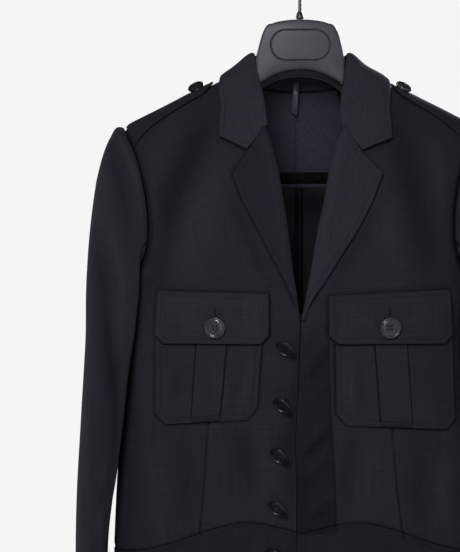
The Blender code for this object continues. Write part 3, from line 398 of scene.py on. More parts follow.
def pattern_line(points, count, back=False):
    """An edge drawn through x and z, spread evenly, as turns and levels."""
    line = along(points, count)
    return pattern(line[:, 0], line[:, 1], back)


# Distances from a stitched edge at which the grid has a line, in mm
EDGE_LINES = np.array([0, 0.35, 0.9, 1.8, 3.2, 4.6, 5.4, 6.0, 6.6, 7.4, 8.8])


def shares(length, spacing, start=False, end=False, marks=()):
    """Shares from 0 to 1 along a length, close together at stitched edges and at given marks."""
    low = EDGE_LINES if start else np.array([0.0])
    high = length - EDGE_LINES[::-1] if end else np.array([length])
    at = [low, high]
    middle = low[-1], high[0]
    count = max(int(round((middle[1] - middle[0]) / spacing)), 1)
    at.append(np.linspace(middle[0], middle[1], count + 1)[1:-1])
    at = np.unique(np.concatenate(at + [np.asarray(marks, float)]))
    keep = np.r_[True, np.diff(at) > 0.12]
    at = at[keep]
    at[-1] = length
    return at / length


def grid_normals(points, flip=False):
    """Outward directions of a grid of points, from the faces round each point."""
    falling = points[1:, 1:] - points[:-1, :-1]
    rising = points[1:, :-1] - points[:-1, 1:]
    padded = np.pad(unit(np.cross(falling, rising)), ((1, 1), (1, 1), (0, 0)))
    normals = padded[1:, 1:] + padded[1:, :-1] + padded[:-1, 1:] + padded[:-1, :-1]
    return unit(normals) * (-1 if flip else 1)


def distance_to(line, x, z):
    """How far each x and z is from a line of corners, in the picture's plane."""
    line = np.asarray(line, float)
    spot = np.stack([x, z], axis=-1)
    nearest = np.full(x.shape, 1e9)
    for start, end in zip(line[:-1], line[1:]):
        run = end - start
        share = np.clip(((spot - start) @ run) / (run @ run), 0, 1)
        nearest = np.minimum(nearest, np.linalg.norm(spot - start - share[..., None] * run, axis=-1))
    return nearest


print("a stitched edge has", len(EDGE_LINES), "grid lines in its first 9 mm")

# %% [markdown]
# Worn wool never lies as smooth as its pattern. The folds below follow the photograph
# on the front: a soft trough falls from each collar point towards the armhole, and small puckers
# slant across the covered band of buttonholes. The back, which isn't seen there, has the folds that
# such a jacket gets as it hangs. A fold is a line through x and z with a width and a height, all in
# millimetres, and it dies away at both ends.

# %% Soft folds of the body
# Each fold: the line it follows, how wide it is, how high it stands (below 0 for a trough)
FRONT_FOLDS = {
    -1: ((((-98, -190), (-124, -236), (-150, -290), (-167, -340), (-175, -392)), 20, -6.2),
         (((-150, -222), (-168, -255), (-174, -300)), 12, 2.6),
         (((-96, -262), (-118, -320), (-132, -380), (-134, -404)), 22, 3.6),
         (((-88, -282), (-70, -332), (-48, -378), (-30, -412)), 9, -2.8),
         (((-178, -420), (-184, -480), (-182, -570)), 14, 3.0),
         (((-176, -580), (-168, -630), (-170, -690)), 15, 2.6),
         (((-140, -578), (-134, -630), (-140, -690)), 13, -2.2),
         (((-76, -566), (-66, -600), (-60, -640)), 15, -3.6),
         (((-48, -560), (-42, -610), (-44, -660)), 10, 2.4),
         (((-14, -520), (-17, -590), (-16, -670)), 7, -2.4),
         (((-96, -716), (-104, -770), (-112, -845)), 20, -4.0),
         (((-40, -712), (-46, -780), (-48, -845)), 17, 2.8),
         (((-168, -722), (-172, -790), (-170, -845)), 16, 3.0)),
    1: ((((110, -186), (120, -240), (132, -300), (146, -360), (150, -396)), 18, -5.4),
        (((152, -232), (164, -270), (168, -320)), 12, 2.4),
        (((88, -290), (98, -340), (108, -390)), 18, 2.8),
        (((104, -284), (78, -334), (50, -380), (34, -410)), 9, -2.6),
        (((186, -262), (180, -330), (184, -400)), 10, -3.6),
        (((186, -430), (190, -500), (188, -570)), 12, -3.4),
        (((174, -590), (166, -640), (168, -690)), 15, 2.8),
        (((140, -586), (134, -632), (138, -690)), 13, -2.6),
        (((82, -580), (74, -622), (72, -664)), 14, 2.6),
        (((58, -575), (54, -620), (50, -660)), 10, -2.4),
        (((92, -716), (100, -770), (106, -845)), 20, -3.6),
        (((36, -712), (40, -780), (42, -845)), 17, 2.6),
        (((160, -722), (166, -790), (168, -845)), 17, 2.8)),
}
BAND_PUCKERS = (
    (((32, -456), (16, -476), (0, -500)), 6.0, 1.8), (((32, -480), (18, -494), (4, -514)), 4.5, -1.7),
    (((30, -505), (18, -520), (4, -540)), 5.0, 1.2), (((32, -552), (18, -566), (0, -584)), 5.0, 1.6),
    (((33, -570), (18, -584), (0, -602)), 4.5, -1.8), (((34, -586), (19, -600), (2, -618)), 5.0, 1.7),
    (((35, -603), (20, -616), (4, -632)), 4.5, -1.5), (((37, -636), (22, -648), (4, -662)), 5.0, 1.5),
    (((38, -653), (22, -664), (6, -676)), 4.5, -1.5),
)
BACK_FOLDS = (
    (((150, -215), (128, -260), (100, -300), (60, -330)), 17, -2.2),
    (((160, -260), (152, -320), (140, -390), (128, -460)), 19, 2.2),
    (((185, -420), (150, -450), (110, -470)), 14, -2.4),
    (((190, -470), (160, -520), (140, -600), (136, -690)), 17, -2.4),
    (((100, -380), (92, -460), (96, -560), (104, -680)), 22, 1.9),
    (((60, -240), (52, -300), (50, -380)), 18, 1.4),
    (((46, -560), (40, -620), (44, -700)), 15, -1.7),
    (((60, -730), (64, -790), (66, -845)), 18, 1.8),
    (((120, -725), (126, -790), (128, -845)), 20, -2.4),
    (((176, -730), (182, -790), (184, -845)), 17, 2.0),
)
BACK_SHIFT = {-1: (0, 0, 1.9), 1: (5, -9, 1.6)}
ARMHOLE_FADE = 13.0
SHOULDER_FADE = 26.0


def fold(x, z, line, width, height):
    """A soft ridge, or trough, along a line, dying away at its ends."""
    line = np.asarray(line, float)
    spot = np.stack([x, z], axis=-1)
    lengths = np.r_[0, np.cumsum(np.linalg.norm(np.diff(line, axis=0), axis=1))]
    nearest, place = np.full(x.shape, 1e9), np.zeros(x.shape)
    for k, (start, end) in enumerate(zip(line[:-1], line[1:])):
        run = end - start
        share = np.clip(((spot - start) @ run) / (run @ run), 0, 1)
        gap = np.linalg.norm(spot - start - share[..., None] * run, axis=-1)
        closer = gap < nearest
        nearest = np.where(closer, gap, nearest)
        place = np.where(closer, (lengths[k] + share * (lengths[k + 1] - lengths[k])), place)
    strength = np.sin(np.clip(place / lengths[-1], 0, 1) * math.pi * 0.9 + 0.05 * math.pi) ** 0.7
    return height * strength * bell(nearest, width)


def body_drape(x, z, back=False):
    """How far the folds move the body's cloth out, in mm."""
    side = np.where(x < 0, -1, 1)
    total = np.zeros(np.broadcast(x, z).shape)
    for each in (-1, 1):
        moved = np.zeros_like(total)
        if back:
            shift_x, shift_z, size = BACK_SHIFT[each]
            for line, width, height in BACK_FOLDS:
                moved += fold(np.abs(x) - shift_x, z - shift_z, line, width, height * size)
        else:
            for line, width, height in FRONT_FOLDS[each]:
                moved += fold(x, z, line, width, height)
        total = np.where(side == each, moved, total)
    hole = ARMHOLE[:, [2 if back else 1, 0]]
    from_hole = distance_to(hole, np.abs(x), z)
    half_width = track(TORSO, np.minimum(z, CHEST_Z).ravel())[:, 0].reshape(x.shape)
    from_side = np.maximum(half_width - np.abs(x), 0)
    fade = ((1 - bell(from_hole, ARMHOLE_FADE))
            * np.clip((shoulder_line(x) - z) / SHOULDER_FADE, 0, 1)
            * (1 - np.exp(-(from_side / 3.0) ** 1.2)))
    return total * fade


# %% [markdown]
# Four kinds of relief finish the cloth near its edges. A seam sinks a little where two pieces are
# pressed open. A turned edge is full, then dips where it is topstitched 6 mm in. A dart and the line
# of the covered band are narrow ditches.

# %% Relief beside seams and stitching
TOPSTITCH_IN = 6.0
DARTS = {-1: ((-107.5, -557), (-110.5, -608), (-117.2, -686)),
         1: ((101.5, -563), (107.5, -632), (115.5, -692))}
BAND_STITCH = ((29.0, -449), (31.5, -532.8), (33.9, -578.0), (37.2, -623.8), (39.0, -680))


def seam_edge(distance):
    """Height of the cloth beside a pressed seam."""
    return -1.0 * np.exp(-(distance / 1.1)) - 0.25 * bell(distance, 5.0)


def ditch(distance, depth=0.5, width=0.8):
    return -depth * bell(distance, width)


def turned_edge(distance):
    """Height of the cloth beside a turned and topstitched edge."""
    return (-0.85 * np.exp(-distance / 0.6) + 0.35 * bell(distance - 3.0, 2.0)
            + ditch(distance - TOPSTITCH_IN, 0.5, 0.75))


def pressed(x, z, lines):
    """Cloth is pressed in a little beside the edges of what lies on it."""
    nearest = np.min([distance_to(line, x, z) for line in lines], axis=0)
    return -1.3 * bell(nearest, 2.2)


def lapel_line(side):
    """The free edge of a lapel, from the notch to its point and down."""
    column = COLUMN[side]
    return [*LAPEL_END[side][1:], *((row[column], row[0]) for row in LAPEL_EDGE[1:-1])]


def pocket_outline(side):
    """The pocket's sides, foot and cut corners, as x and z, from the flap down and round."""
    shape = POCKET[side]
    edge = np.sign(shape["flap"][1] - shape["flap"][0])
    inner_z, outer_z = POCKET_FOOT[side]
    inner, outer = shape["foot"]
    cut = POCKET_CHAMFER
    return np.array([(shape["flap"][0] + edge * shape["inset"], POCKET_TOP),
                     (inner, inner_z + cut), (inner + edge * cut, inner_z),
                     (outer - edge * cut, outer_z), (outer, outer_z + cut),
                     (shape["flap"][1] - edge, POCKET_TOP)])


def flap_outline(side):
    """The flap's four sides and two cut corners, as x and z."""
    inner, outer = POCKET[side]["flap"]
    edge = np.sign(outer - inner)
    cut = FLAP_CHAMFER
    return np.array([(inner, FLAP_TOP[side][0]), (inner, FLAP_FOOT + cut),
                     (inner + edge * cut, FLAP_FOOT), (outer - edge * cut, FLAP_FOOT),
                     (outer, FLAP_FOOT + cut),
                     (outer - edge * FLAP_SLANT[side], FLAP_TOP[side][1]),
                     (inner, FLAP_TOP[side][0])])


def distances(points):
    """How far each point of a grid is from the grid's four edges, along the cloth."""
    over = np.linalg.norm(np.diff(points, axis=1), axis=-1)
    across = np.concatenate([np.zeros((len(points), 1)), np.cumsum(over, axis=1)], axis=1)
    fall = np.linalg.norm(np.diff(points, axis=0), axis=-1)
    down = np.concatenate([np.zeros((1, points.shape[1])), np.cumsum(fall, axis=0)], axis=0)
    return {"inner": across, "outer": across[:, -1:] - across,
            "top": down, "bottom": down[-1:] - down}


# %% [markdown]
# One function sews every flat piece. It starts from a bmesh grid, moves its points to their places on
# the body, gives it a cloth map measured in real metres, so that the weave keeps one size all over,
# and adds the thickness with a Solidify modifier, lining side in. As in real sewing, a piece may run
# on a few millimetres under its neighbour, so that no light comes through the seam.

# %% Sewing a piece
made_sheets = []
SEAM_ALLOWANCE = 5.0
surfaces = {}


def grow(points, normals, edge, length, depth):
    """Adds a strip beside an edge of a grid, which goes down and on under the next piece."""
    turned = edge in ("inner", "outer")
    if turned:
        points, normals = points.swapaxes(0, 1), normals.swapaxes(0, 1)
    end, beside = (0, 3) if edge in ("top", "inner") else (-1, -4)
    low = points[end] - normals[end] * depth
    strip = [low + unit(points[end] - points[beside]) * length, low]
    if end == 0:
        points = np.concatenate([strip, points])
        normals = np.concatenate([normals[:1], normals[:1], normals])
    else:
        points = np.concatenate([points, strip[::-1]])
        normals = np.concatenate([normals, normals[-1:], normals[-1:]])
    return (points.swapaxes(0, 1), normals.swapaxes(0, 1)) if turned else (points, normals)


def sew(node, points, normals, relief, stuff=None, inside=None, thickness=CLOTH,
        under=(), drape_and_shade=0.0, detail=0.0, covers=True):
    """One piece of cloth over its CAD node, from a grid of points in mm; wool if stuff is None.

    Each edge named in under gets a seam allowance that runs on under the next piece. The broad
    and the narrow depths, in mm, are kept in a second map: the wool darkens its colour there as
    painted shade where they are low, and lightens it as painted light where they are high.
    """
    name = f"cloth_{node}"
    stuff = stuff or WOOL
    size = points.shape[:2]
    surface = points + normals * np.broadcast_to(relief, size)[..., None]
    surfaces[name] = surface
    # Painted shade and painted light for the wool: these depths go into the second map, named depth
    tone = np.stack([0.5 + np.broadcast_to(drape_and_shade, size) / 16,
                     0.5 + np.broadcast_to(detail, size) / 4], axis=-1)
    tone = np.clip(tone, 0, 1)
    for edge in under:
        pads = [(0, 0), (0, 0), (0, 0)]
        pads[edge in ("inner", "outer")] = (2, 0) if edge in ("top", "inner") else (0, 2)
        tone = np.pad(tone, pads, mode="edge")
        points = grow(points, normals, edge, SEAM_ALLOWANCE, 0.1)[0]
        surface, normals = grow(surface, normals, edge, SEAM_ALLOWANCE, CLOTH * 0.7)
    rows, columns = points.shape[:2]
    cloth = bmesh.new()
    bmesh.ops.create_grid(cloth, x_segments=columns - 1, y_segments=rows - 1, size=1)
    middle = rows // 2, columns // 2
    step_right = surface[middle[0], middle[1] + 1] - surface[middle]
    step_up = surface[middle[0] - 1, middle[1]] - surface[middle]
    if np.dot(np.cross(step_right, step_up), normals[middle]) < 0:
        bmesh.ops.reverse_faces(cloth, faces=cloth.faces[:])
    mesh = bpy.data.meshes.new(name)
    cloth.to_mesh(mesh)
    cloth.free()
    spot = np.zeros(len(mesh.vertices) * 3, np.float32)
    mesh.vertices.foreach_get("co", spot)
    spot = spot.reshape(-1, 3)
    column = np.rint((spot[:, 0] + 1) / 2 * (columns - 1)).astype(int)
    row = np.rint((1 - spot[:, 1]) / 2 * (rows - 1)).astype(int)
    mesh.vertices.foreach_set("co", (surface[row, column] * MM).astype(np.float32).ravel())
    reach = distances(points)
    corner = np.zeros(len(mesh.loops), np.int32)
    mesh.loops.foreach_get("vertex_index", corner)
    flat = np.stack([reach["inner"], -reach["top"]], axis=-1)[row, column][corner] * MM
    layer = mesh.uv_layers.new(name="cloth")
    layer.data.foreach_set("uv", flat.astype(np.float32).ravel())
    painted_shade_layer = mesh.uv_layers.new(name="depth")
    painted_shade_layer.data.foreach_set("uv", tone[row, column][corner].astype(np.float32).ravel())
    mesh.uv_layers.active_index = 0
    mesh.materials.append(stuff)
    mesh.materials.append(inside or stuff)
    mesh.shade_smooth()
    piece = show(name, mesh)
    wall = piece.modifiers.new("thickness", "SOLIDIFY")
    wall.thickness = thickness * MM
    wall.offset = -1
    wall.material_offset = 1
    wall.material_offset_rim = 0
    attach(piece, "root")
    if covers:
        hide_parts(node)
    width = max(reach["outer"][:, 0].max() * MM, 0.0102)
    length = reach["bottom"][0].max() * MM
    a, b, c, d = points[:-1, :-1], points[:-1, 1:], points[1:, 1:], points[1:, :-1]
    area = (np.linalg.norm(np.cross(c - a, d - b), axis=-1) / 2).sum() * MM * MM
    area = min(max(area, 0.31 * width * length), width * length)
    made_sheets.append((name, round(width, 3), round(length, 3), round(area, 4)))
    return piece


# %% [markdown]
# The materials come before the pieces that wear them. Each starts from what the real one is. One
# helper adds a node with its settings and inputs, and one turns the hex colours, which are written as
# a picture shows them, into the linear values that the renderer works in.

# %% Node and colour helpers


def linear(code):
    """A picture's hex colour as the linear RGBA that a shader takes."""
    parts = [int(code[k:k + 2], 16) / 255 for k in (1, 3, 5)]
    return (*[p / 12.92 if p <= 0.04045 else ((p + 0.055) / 1.055) ** 2.4 for p in parts], 1.0)


def new_material(name):
    made = bpy.data.materials.new(name)
    made.use_nodes = True
    return made, made.node_tree, made.node_tree.nodes["Principled BSDF"]


def fill(tree, node, **values):
    """Sets a node's inputs: a node or socket is linked, and anything else is the input's value."""
    for key, value in values.items():
        socket = node.inputs[int(key[1:]) if key[1:].isdigit() else key.replace("_", " ")]
        value = value.outputs[0] if isinstance(value, bpy.types.Node) else value
        if isinstance(value, bpy.types.NodeSocket):
            tree.links.new(value, socket)
        else:
            socket.default_value = value
    return node


def add(tree, kind, settings=None, **values):
    """Adds a node of a kind, with its settings and inputs."""
    node = tree.nodes.new("ShaderNode" + kind)
    for key, value in (settings or {}).items():
        setattr(node, key, value)
    return fill(tree, node, **values)


def ramp(tree, value, stops):
    """A colour ramp through (place, hex colour) stops."""
    node = add(tree, "ValToRGB", i0=value)
    elements = node.color_ramp.elements
    while len(elements) < len(stops):
        elements.new(0.5)
    for element, (place, color) in zip(elements, stops):
        element.position = place
        element.color = linear(color)
    return node


# %% [markdown]
# The cloth is a fine plain weave of worsted wool with some mohair, piece-dyed near black with a cast
# of blue. Its real threads are 0.35 mm apart, too fine for the picture, so the weave is drawn with
# threads 0.9 mm apart. Yarn of uneven thickness makes the faint lines along and across that show in
# the photograph. Worsted has a soft sheen at a glancing angle, and its fibres hide any gloss. Painted
# shade darkens the colour in the troughs of folds and along seams, and painted light brightens ridges
# and some whole pieces: the second map of each piece carries those depths, and the paint follows them.

# %% Worsted wool
THREAD = 0.9 * MM


def worsted_wool():
    made, tree, shader = new_material("worsted mohair plain weave")
    cloth_map = add(tree, "UVMap", {"uv_map": "cloth"})
    scaled = add(tree, "VectorMath", {"operation": "SCALE"}, i0=cloth_map, Scale=math.pi / THREAD)
    split = add(tree, "SeparateXYZ", i0=scaled).outputs
    waves = [add(tree, "Math", {"operation": "SINE"}, i0=split[k]) for k in (0, 1)]
    weave = add(tree, "Math", {"operation": "MULTIPLY"}, i0=waves[0], i1=waves[1])
    slubs = []
    for across, down in ((1 / 1.3, 1 / 55.0), (1 / 60.0, 1 / 1.2)):
        stretched = add(tree, "Mapping", i0=cloth_map, Scale=(across / MM, down / MM, 1))
        slubs.append(add(tree, "TexNoise", {"noise_dimensions": "2D"}, Vector=stretched, Scale=1.0,
                         Detail=2.0, Roughness=0.6))
    yarns = add(tree, "Math", {"operation": "ADD"}, i0=slubs[0], i1=slubs[1])
    fibres = add(tree, "TexNoise", Vector=cloth_map, Scale=1 / (0.55 * MM), Detail=3.0, Roughness=0.7)
    tone = add(tree, "Math", {"operation": "MULTIPLY_ADD"}, i0=yarns, i1=0.18, i2=0.30)
    mixed = add(tree, "Math", {"operation": "MULTIPLY_ADD"}, i0=fibres, i1=0.5, i2=tone)
    color = ramp(tree, mixed, ((0.45, "#131418"), (0.62, "#1c1d22"), (0.80, "#292a31")))
    # Painted shade: the colour is darkened where the second map is low, in folds and along seams, and
    # lightened as painted light where it is high
    depth = add(tree, "SeparateXYZ", i0=add(tree, "UVMap", {"uv_map": "depth"})).outputs
    broad = add(tree, "MapRange", Value=depth[0], From_Min=0.1, From_Max=0.9, To_Min=0.50, To_Max=1.40)
    narrow = add(tree, "MapRange", Value=depth[1], From_Min=0.1, From_Max=0.5, To_Min=0.30, To_Max=1.0)
    shade = add(tree, "Math", {"operation": "MULTIPLY"}, i0=broad, i1=narrow)
    height = add(tree, "Math", {"operation": "MULTIPLY_ADD"}, i0=weave, i1=0.35, i2=mixed)
    fill(tree, shader, Roughness=0.88, Specular_IOR_Level=0.05, Sheen_Weight=0.03,
         Sheen_Roughness=0.45, Sheen_Tint=linear("#8f93a3"),
         Base_Color=add(tree, "VectorMath", {"operation": "SCALE"}, i0=color, Scale=shade),
         Normal=add(tree, "Bump", Strength=0.35, Distance=0.25 * MM, Height=height))
    return made


WOOL = worsted_wool()
print("wool threads are drawn", THREAD / MM, "mm apart")

# %% [markdown]
# The lining is a black viscose satin. Its long floats lie side by side, so it is smoother than wool
# and takes a soft stretched highlight. Sewing thread is polyester, a little shinier than the wool.

# %% Satin lining and sewing thread


def satin_lining(name, low, high, gloss):
    made, tree, shader = new_material(name)
    cloth_map = add(tree, "UVMap", {"uv_map": "cloth"})
    floats = add(tree, "Mapping", i0=cloth_map, Scale=(1 / (0.5 * MM), 1 / (6 * MM), 1))
    grain = add(tree, "TexNoise", {"noise_dimensions": "2D"}, Vector=floats, Scale=1.0, Detail=2.0)
    fill(tree, shader, Roughness=0.45, Specular_IOR_Level=gloss,
         Base_Color=ramp(tree, grain, ((0.3, low), (0.75, high))),
         Normal=add(tree, "Bump", Strength=0.15, Distance=0.1 * MM, Height=grain))
    return made


def sewing_thread():
    made, tree, shader = new_material("twisted polyester sewing thread")
    place = add(tree, "TexCoord").outputs["Object"]
    twist = add(tree, "TexNoise", Vector=place, Scale=1 / (0.5 * MM), Detail=1.0)
    fill(tree, shader, Roughness=0.5, Specular_IOR_Level=0.4,
         Base_Color=ramp(tree, twist, ((0.3, "#101115"), (0.7, "#1d1e23"))))
    return made


SATIN = satin_lining("viscose satin lining", "#0d0e12", "#17181e", 0.12)
# The facing and the loop are the black satin made lighter: their colours are raised as painted light
FACING = satin_lining("satin-backed neck facing lightened as painted light", "#21222c", "#343541", 0.12)
RIBBON = satin_lining("satin ribbon lightened as painted light", "#2b2c32", "#4a4b54", 0.5)
THREAD_STUFF = sewing_thread()

# %% [markdown]
# The fronts run from the shoulder seam to the curved waist seam. In the V of the neck their edge is
# hidden inside the roll of the lapel, so the cloth stops a little short of it there. A dart shapes the
# waist, and the band that covers the buttonholes is stitched down on the viewer's right front.

# %% Fronts
ROLL_TUCK = 4.4
FRONT_STEPS = (10, 66, 92)
FRONT_SIDE_STEPS = (66, 102)
OVERLAP_CHANGE_Z = -612.0


def waist_points(start, end, count):
    """The waist seam between two distances from the centre, as x and z."""
    x = start + (end - start) * (np.linspace(0, 1, count) if np.isscalar(count) else count)
    return np.column_stack([x, track(WAIST_SEAM, np.abs(x))[:, 0]])


def roll_tuck(z):
    """How far the front's cut edge lies inside the roll of the lapel."""
    return ROLL_TUCK * np.clip((z + 443) / 60, 0, 1) ** 0.6


def front_place(side, across):
    """The turns and levels of one front's grid."""
    column = COLUMN[side]
    out = np.array([side, 1])
    roll = ROLL_LINE[:, [column, 0]].astype(float)
    fine_roll = along(roll, 40)
    fine_roll[:, 0] += side * roll_tuck(fine_roll[:, 1])
    edge = FRONT_EDGE[FRONT_EDGE[:, 0] > FRONT_WAIST_Z][:, [1, 0]].astype(float)
    edge[:, 0] += side * SEAM_GAP / 2
    edge = np.vstack([fine_roll[-1], edge[1:]])
    foot = waist_points(edge[-1, 0], side * WAIST_HALF_WIDTH, 40)
    edge[-1] = foot[0]
    neck = np.array([SHOULDER_NEAR_NECK * out, (side * 62, -180), fine_roll[0]])
    side_z = np.linspace(UNDERARM_Z, foot[-1, 1], FRONT_SIDE_STEPS[1] + 1)
    side_seam = np.column_stack([side * track(TORSO, side_z)[:, 0], side_z])
    foot[-1] = side_seam[-1]
    inner = joined(pattern_line(neck, FRONT_STEPS[0]), pattern_line(fine_roll, FRONT_STEPS[1]),
                   pattern_line(edge, FRONT_STEPS[2]))
    outer = joined(pattern_line(ARMHOLE[:, [1, 0]] * out, FRONT_SIDE_STEPS[0]),
                   pattern(*side_seam.T))
    shoulder_end = np.array([SHOULDER_END_X, ARMHOLE[0, 0]])
    top = pattern_line(np.array([SHOULDER_NEAR_NECK * out, shoulder_end * out]), across)
    top[:, 1] = 0
    bottom = pattern_line(foot, across)
    inner[0], outer[0] = top[0], top[-1]
    inner[-1] = bottom[0]
    outer[-1, 0] = bottom[-1, 0] = side
    bottom[-1] = outer[-1]
    down = np.linspace(0, 1, len(inner))
    place = patch(top, bottom, inner, outer, down, across)
    extra = [place[0] * (1 - s) + place[1] * s for s in (0.12, 0.3, 0.6)]
    return np.vstack([place[:1], extra, place[1:]])


def overlap_lift(side, x, z):
    """The front edge that lies on top: the right one above the waist, the left one below."""
    on_top = np.clip((z - OVERLAP_CHANGE_Z) / 24, -1, 1) * side
    from_edge = np.abs(x - track(FRONT_EDGE, z.ravel())[:, 0].reshape(x.shape))
    below_v = np.clip((-440 - z) / 20, 0, 1)
    return 1.5 * on_top * np.exp(-from_edge / 14) * below_v


def band_share(x, z):
    """1 on the band that covers the buttonholes and 0 beside it."""
    line = track(np.array(BAND_STITCH)[:, ::-1], z.ravel())[:, 0].reshape(x.shape)
    return (x < line) * (x > -9) * np.clip((-440 - z) / 34, 0, 1) * (z > FRONT_WAIST_Z)


def front_relief(side, points):
    """The folds, the dart and the ditches of a front, and the depths of its painted shade."""
    x, z = points[..., 0], points[..., 2]
    broad = body_drape(x, z) + overlap_lift(side, x, z)
    detail = ditch(distance_to(DARTS[side], x, z), 1.5, 1.1)
    dart = np.array(DARTS[side])[:, ::-1]
    beside_dart = np.abs(x) - np.abs(track(dart, z.ravel())[:, 0].reshape(x.shape))
    broad += 0.9 * bell(beside_dart + 4, 3.5) * (z < dart[0, 0])
    from_edge = distance_to(FRONT_EDGE[:, ::-1], x, z)
    # The depths for the painted shade start from the folds
    painted_shade = broad * 1.0
    if side > 0:
        detail += ditch(distance_to(BAND_STITCH, x, z), 1.1, 1.0)
        puckers = band_share(x, z) * sum(fold(x, z, *pucker) for pucker in BAND_PUCKERS)
        broad = broad + puckers
        # Painted shade darkens the covered band of buttonholes, with its puckers
        painted_shade += puckers - 5.5 * band_share(x, z)
    else:
        # Painted shade darkens a strip beside the slit below the first button
        painted_shade -= 2.6 * bell(from_edge, 9) * (z < -470)
    edges = [lapel_line(side), COLLAR_END[side][1:], pocket_outline(side), flap_outline(side)]
    detail += pressed(x, z, edges) + turned_edge(from_edge + 1.0) * (z < -448)
    return broad, detail, painted_shade


DENSE = {-1: [(98, 114)], 1: [(28, 46), (100, 119)]}


def sew_front(side):
    marks = np.concatenate([np.arange(low, high, 0.9) for low, high in DENSE[side]])
    across = shares(210, 2.2, start=True, marks=marks)
    points, normals = torso_sheet(front_place(side, across))
    normals[0] = crest_normals(points[0, :, 0])
    reach = distances(points)
    broad, detail, painted_shade = front_relief(side, points)
    detail += seam_edge(reach["outer"]) + 0.6 * seam_edge(reach["bottom"])
    detail += 0.5 * seam_edge(reach["top"])
    sew(f"front_{SIDE[side]}", points, normals,
        broad + detail, inside=SATIN, drape_and_shade=painted_shade, detail=0.8 * detail)


for side in (-1, 1):
    sew_front(side)
print("fronts:", [s[0] for s in made_sheets])

# %% [markdown]
# The back is cut in two halves with a seam down the middle. Its edges run along the neck and the
# shoulder seam, then down the armhole and the side. The skirt below the waist seam is cut in four.

# %% Back and skirt
BACK_STEPS = (50, 76)


def sew_back(side):
    out = np.array([side, 1])
    across = shares(210, 3.0, start=True)
    foot_z = track(WAIST_SEAM, [WAIST_HALF_WIDTH])[0, 0]
    side_z = np.linspace(UNDERARM_Z, foot_z, BACK_STEPS[1] + 1)
    side_seam = np.column_stack([side * track(TORSO, side_z)[:, 0], side_z])
    outer = joined(pattern_line(ARMHOLE[:, [2, 0]] * out, BACK_STEPS[0], True),
                   pattern(*side_seam.T, True))
    neck_share = 0.34
    on_neck = across <= neck_share
    neck = pattern_line(BACK_NECKLINE[::-1] * out, across[on_neck] / across[on_neck][-1], True)
    shoulder_end = np.array([SHOULDER_END_X, ARMHOLE[0, 0]])
    rest = (across[~on_neck] - across[on_neck][-1]) / (1 - across[on_neck][-1])
    shoulder = pattern_line(np.array([SHOULDER_NEAR_NECK * out, shoulder_end * out]),
                            np.r_[0, rest], True)
    shoulder[:, 1] = 0
    neck[0, 0] = side * 1e-7
    neck[-1], outer[0] = shoulder[0], shoulder[-1]
    outer[-1, 0] = side
    top = joined(neck, shoulder)
    down = np.linspace(0, 1, len(outer))
    inner = np.column_stack([down * 0 + side * 1e-7,
                             top[0, 1] + down * (outer[-1, 1] - top[0, 1])])
    bottom = inner[-1] + across[:, None] * (outer[-1] - inner[-1])
    place = patch(top, bottom, inner, outer, down, across)
    extra = [place[0] * (1 - s) + place[1] * s for s in (0.12, 0.3, 0.6)]
    place = np.vstack([place[:1], extra, place[1:]])
    points, normals = torso_sheet(place, True)
    crest = len(neck) - 1
    normals[0, crest:] = crest_normals(points[0, crest:, 0])
    reach = distances(points)
    broad = body_drape(points[..., 0], points[..., 2], True)
    detail = sum(seam_edge(reach[edge]) for edge in ("inner", "outer", "bottom"))
    detail += 0.5 * seam_edge(reach["top"])
    sew(f"back_{SIDE[side]}", points, normals,
        broad + detail, inside=SATIN, drape_and_shade=broad, detail=detail)


def hem_edge(distance):
    """The hem is turned up and pressed: it is full, and its edge is round."""
    return (-0.8 * np.exp(-distance / 0.7) + 0.4 * bell(distance - 4, 4.0)
            - 0.25 * bell(distance - 32, 2.5))


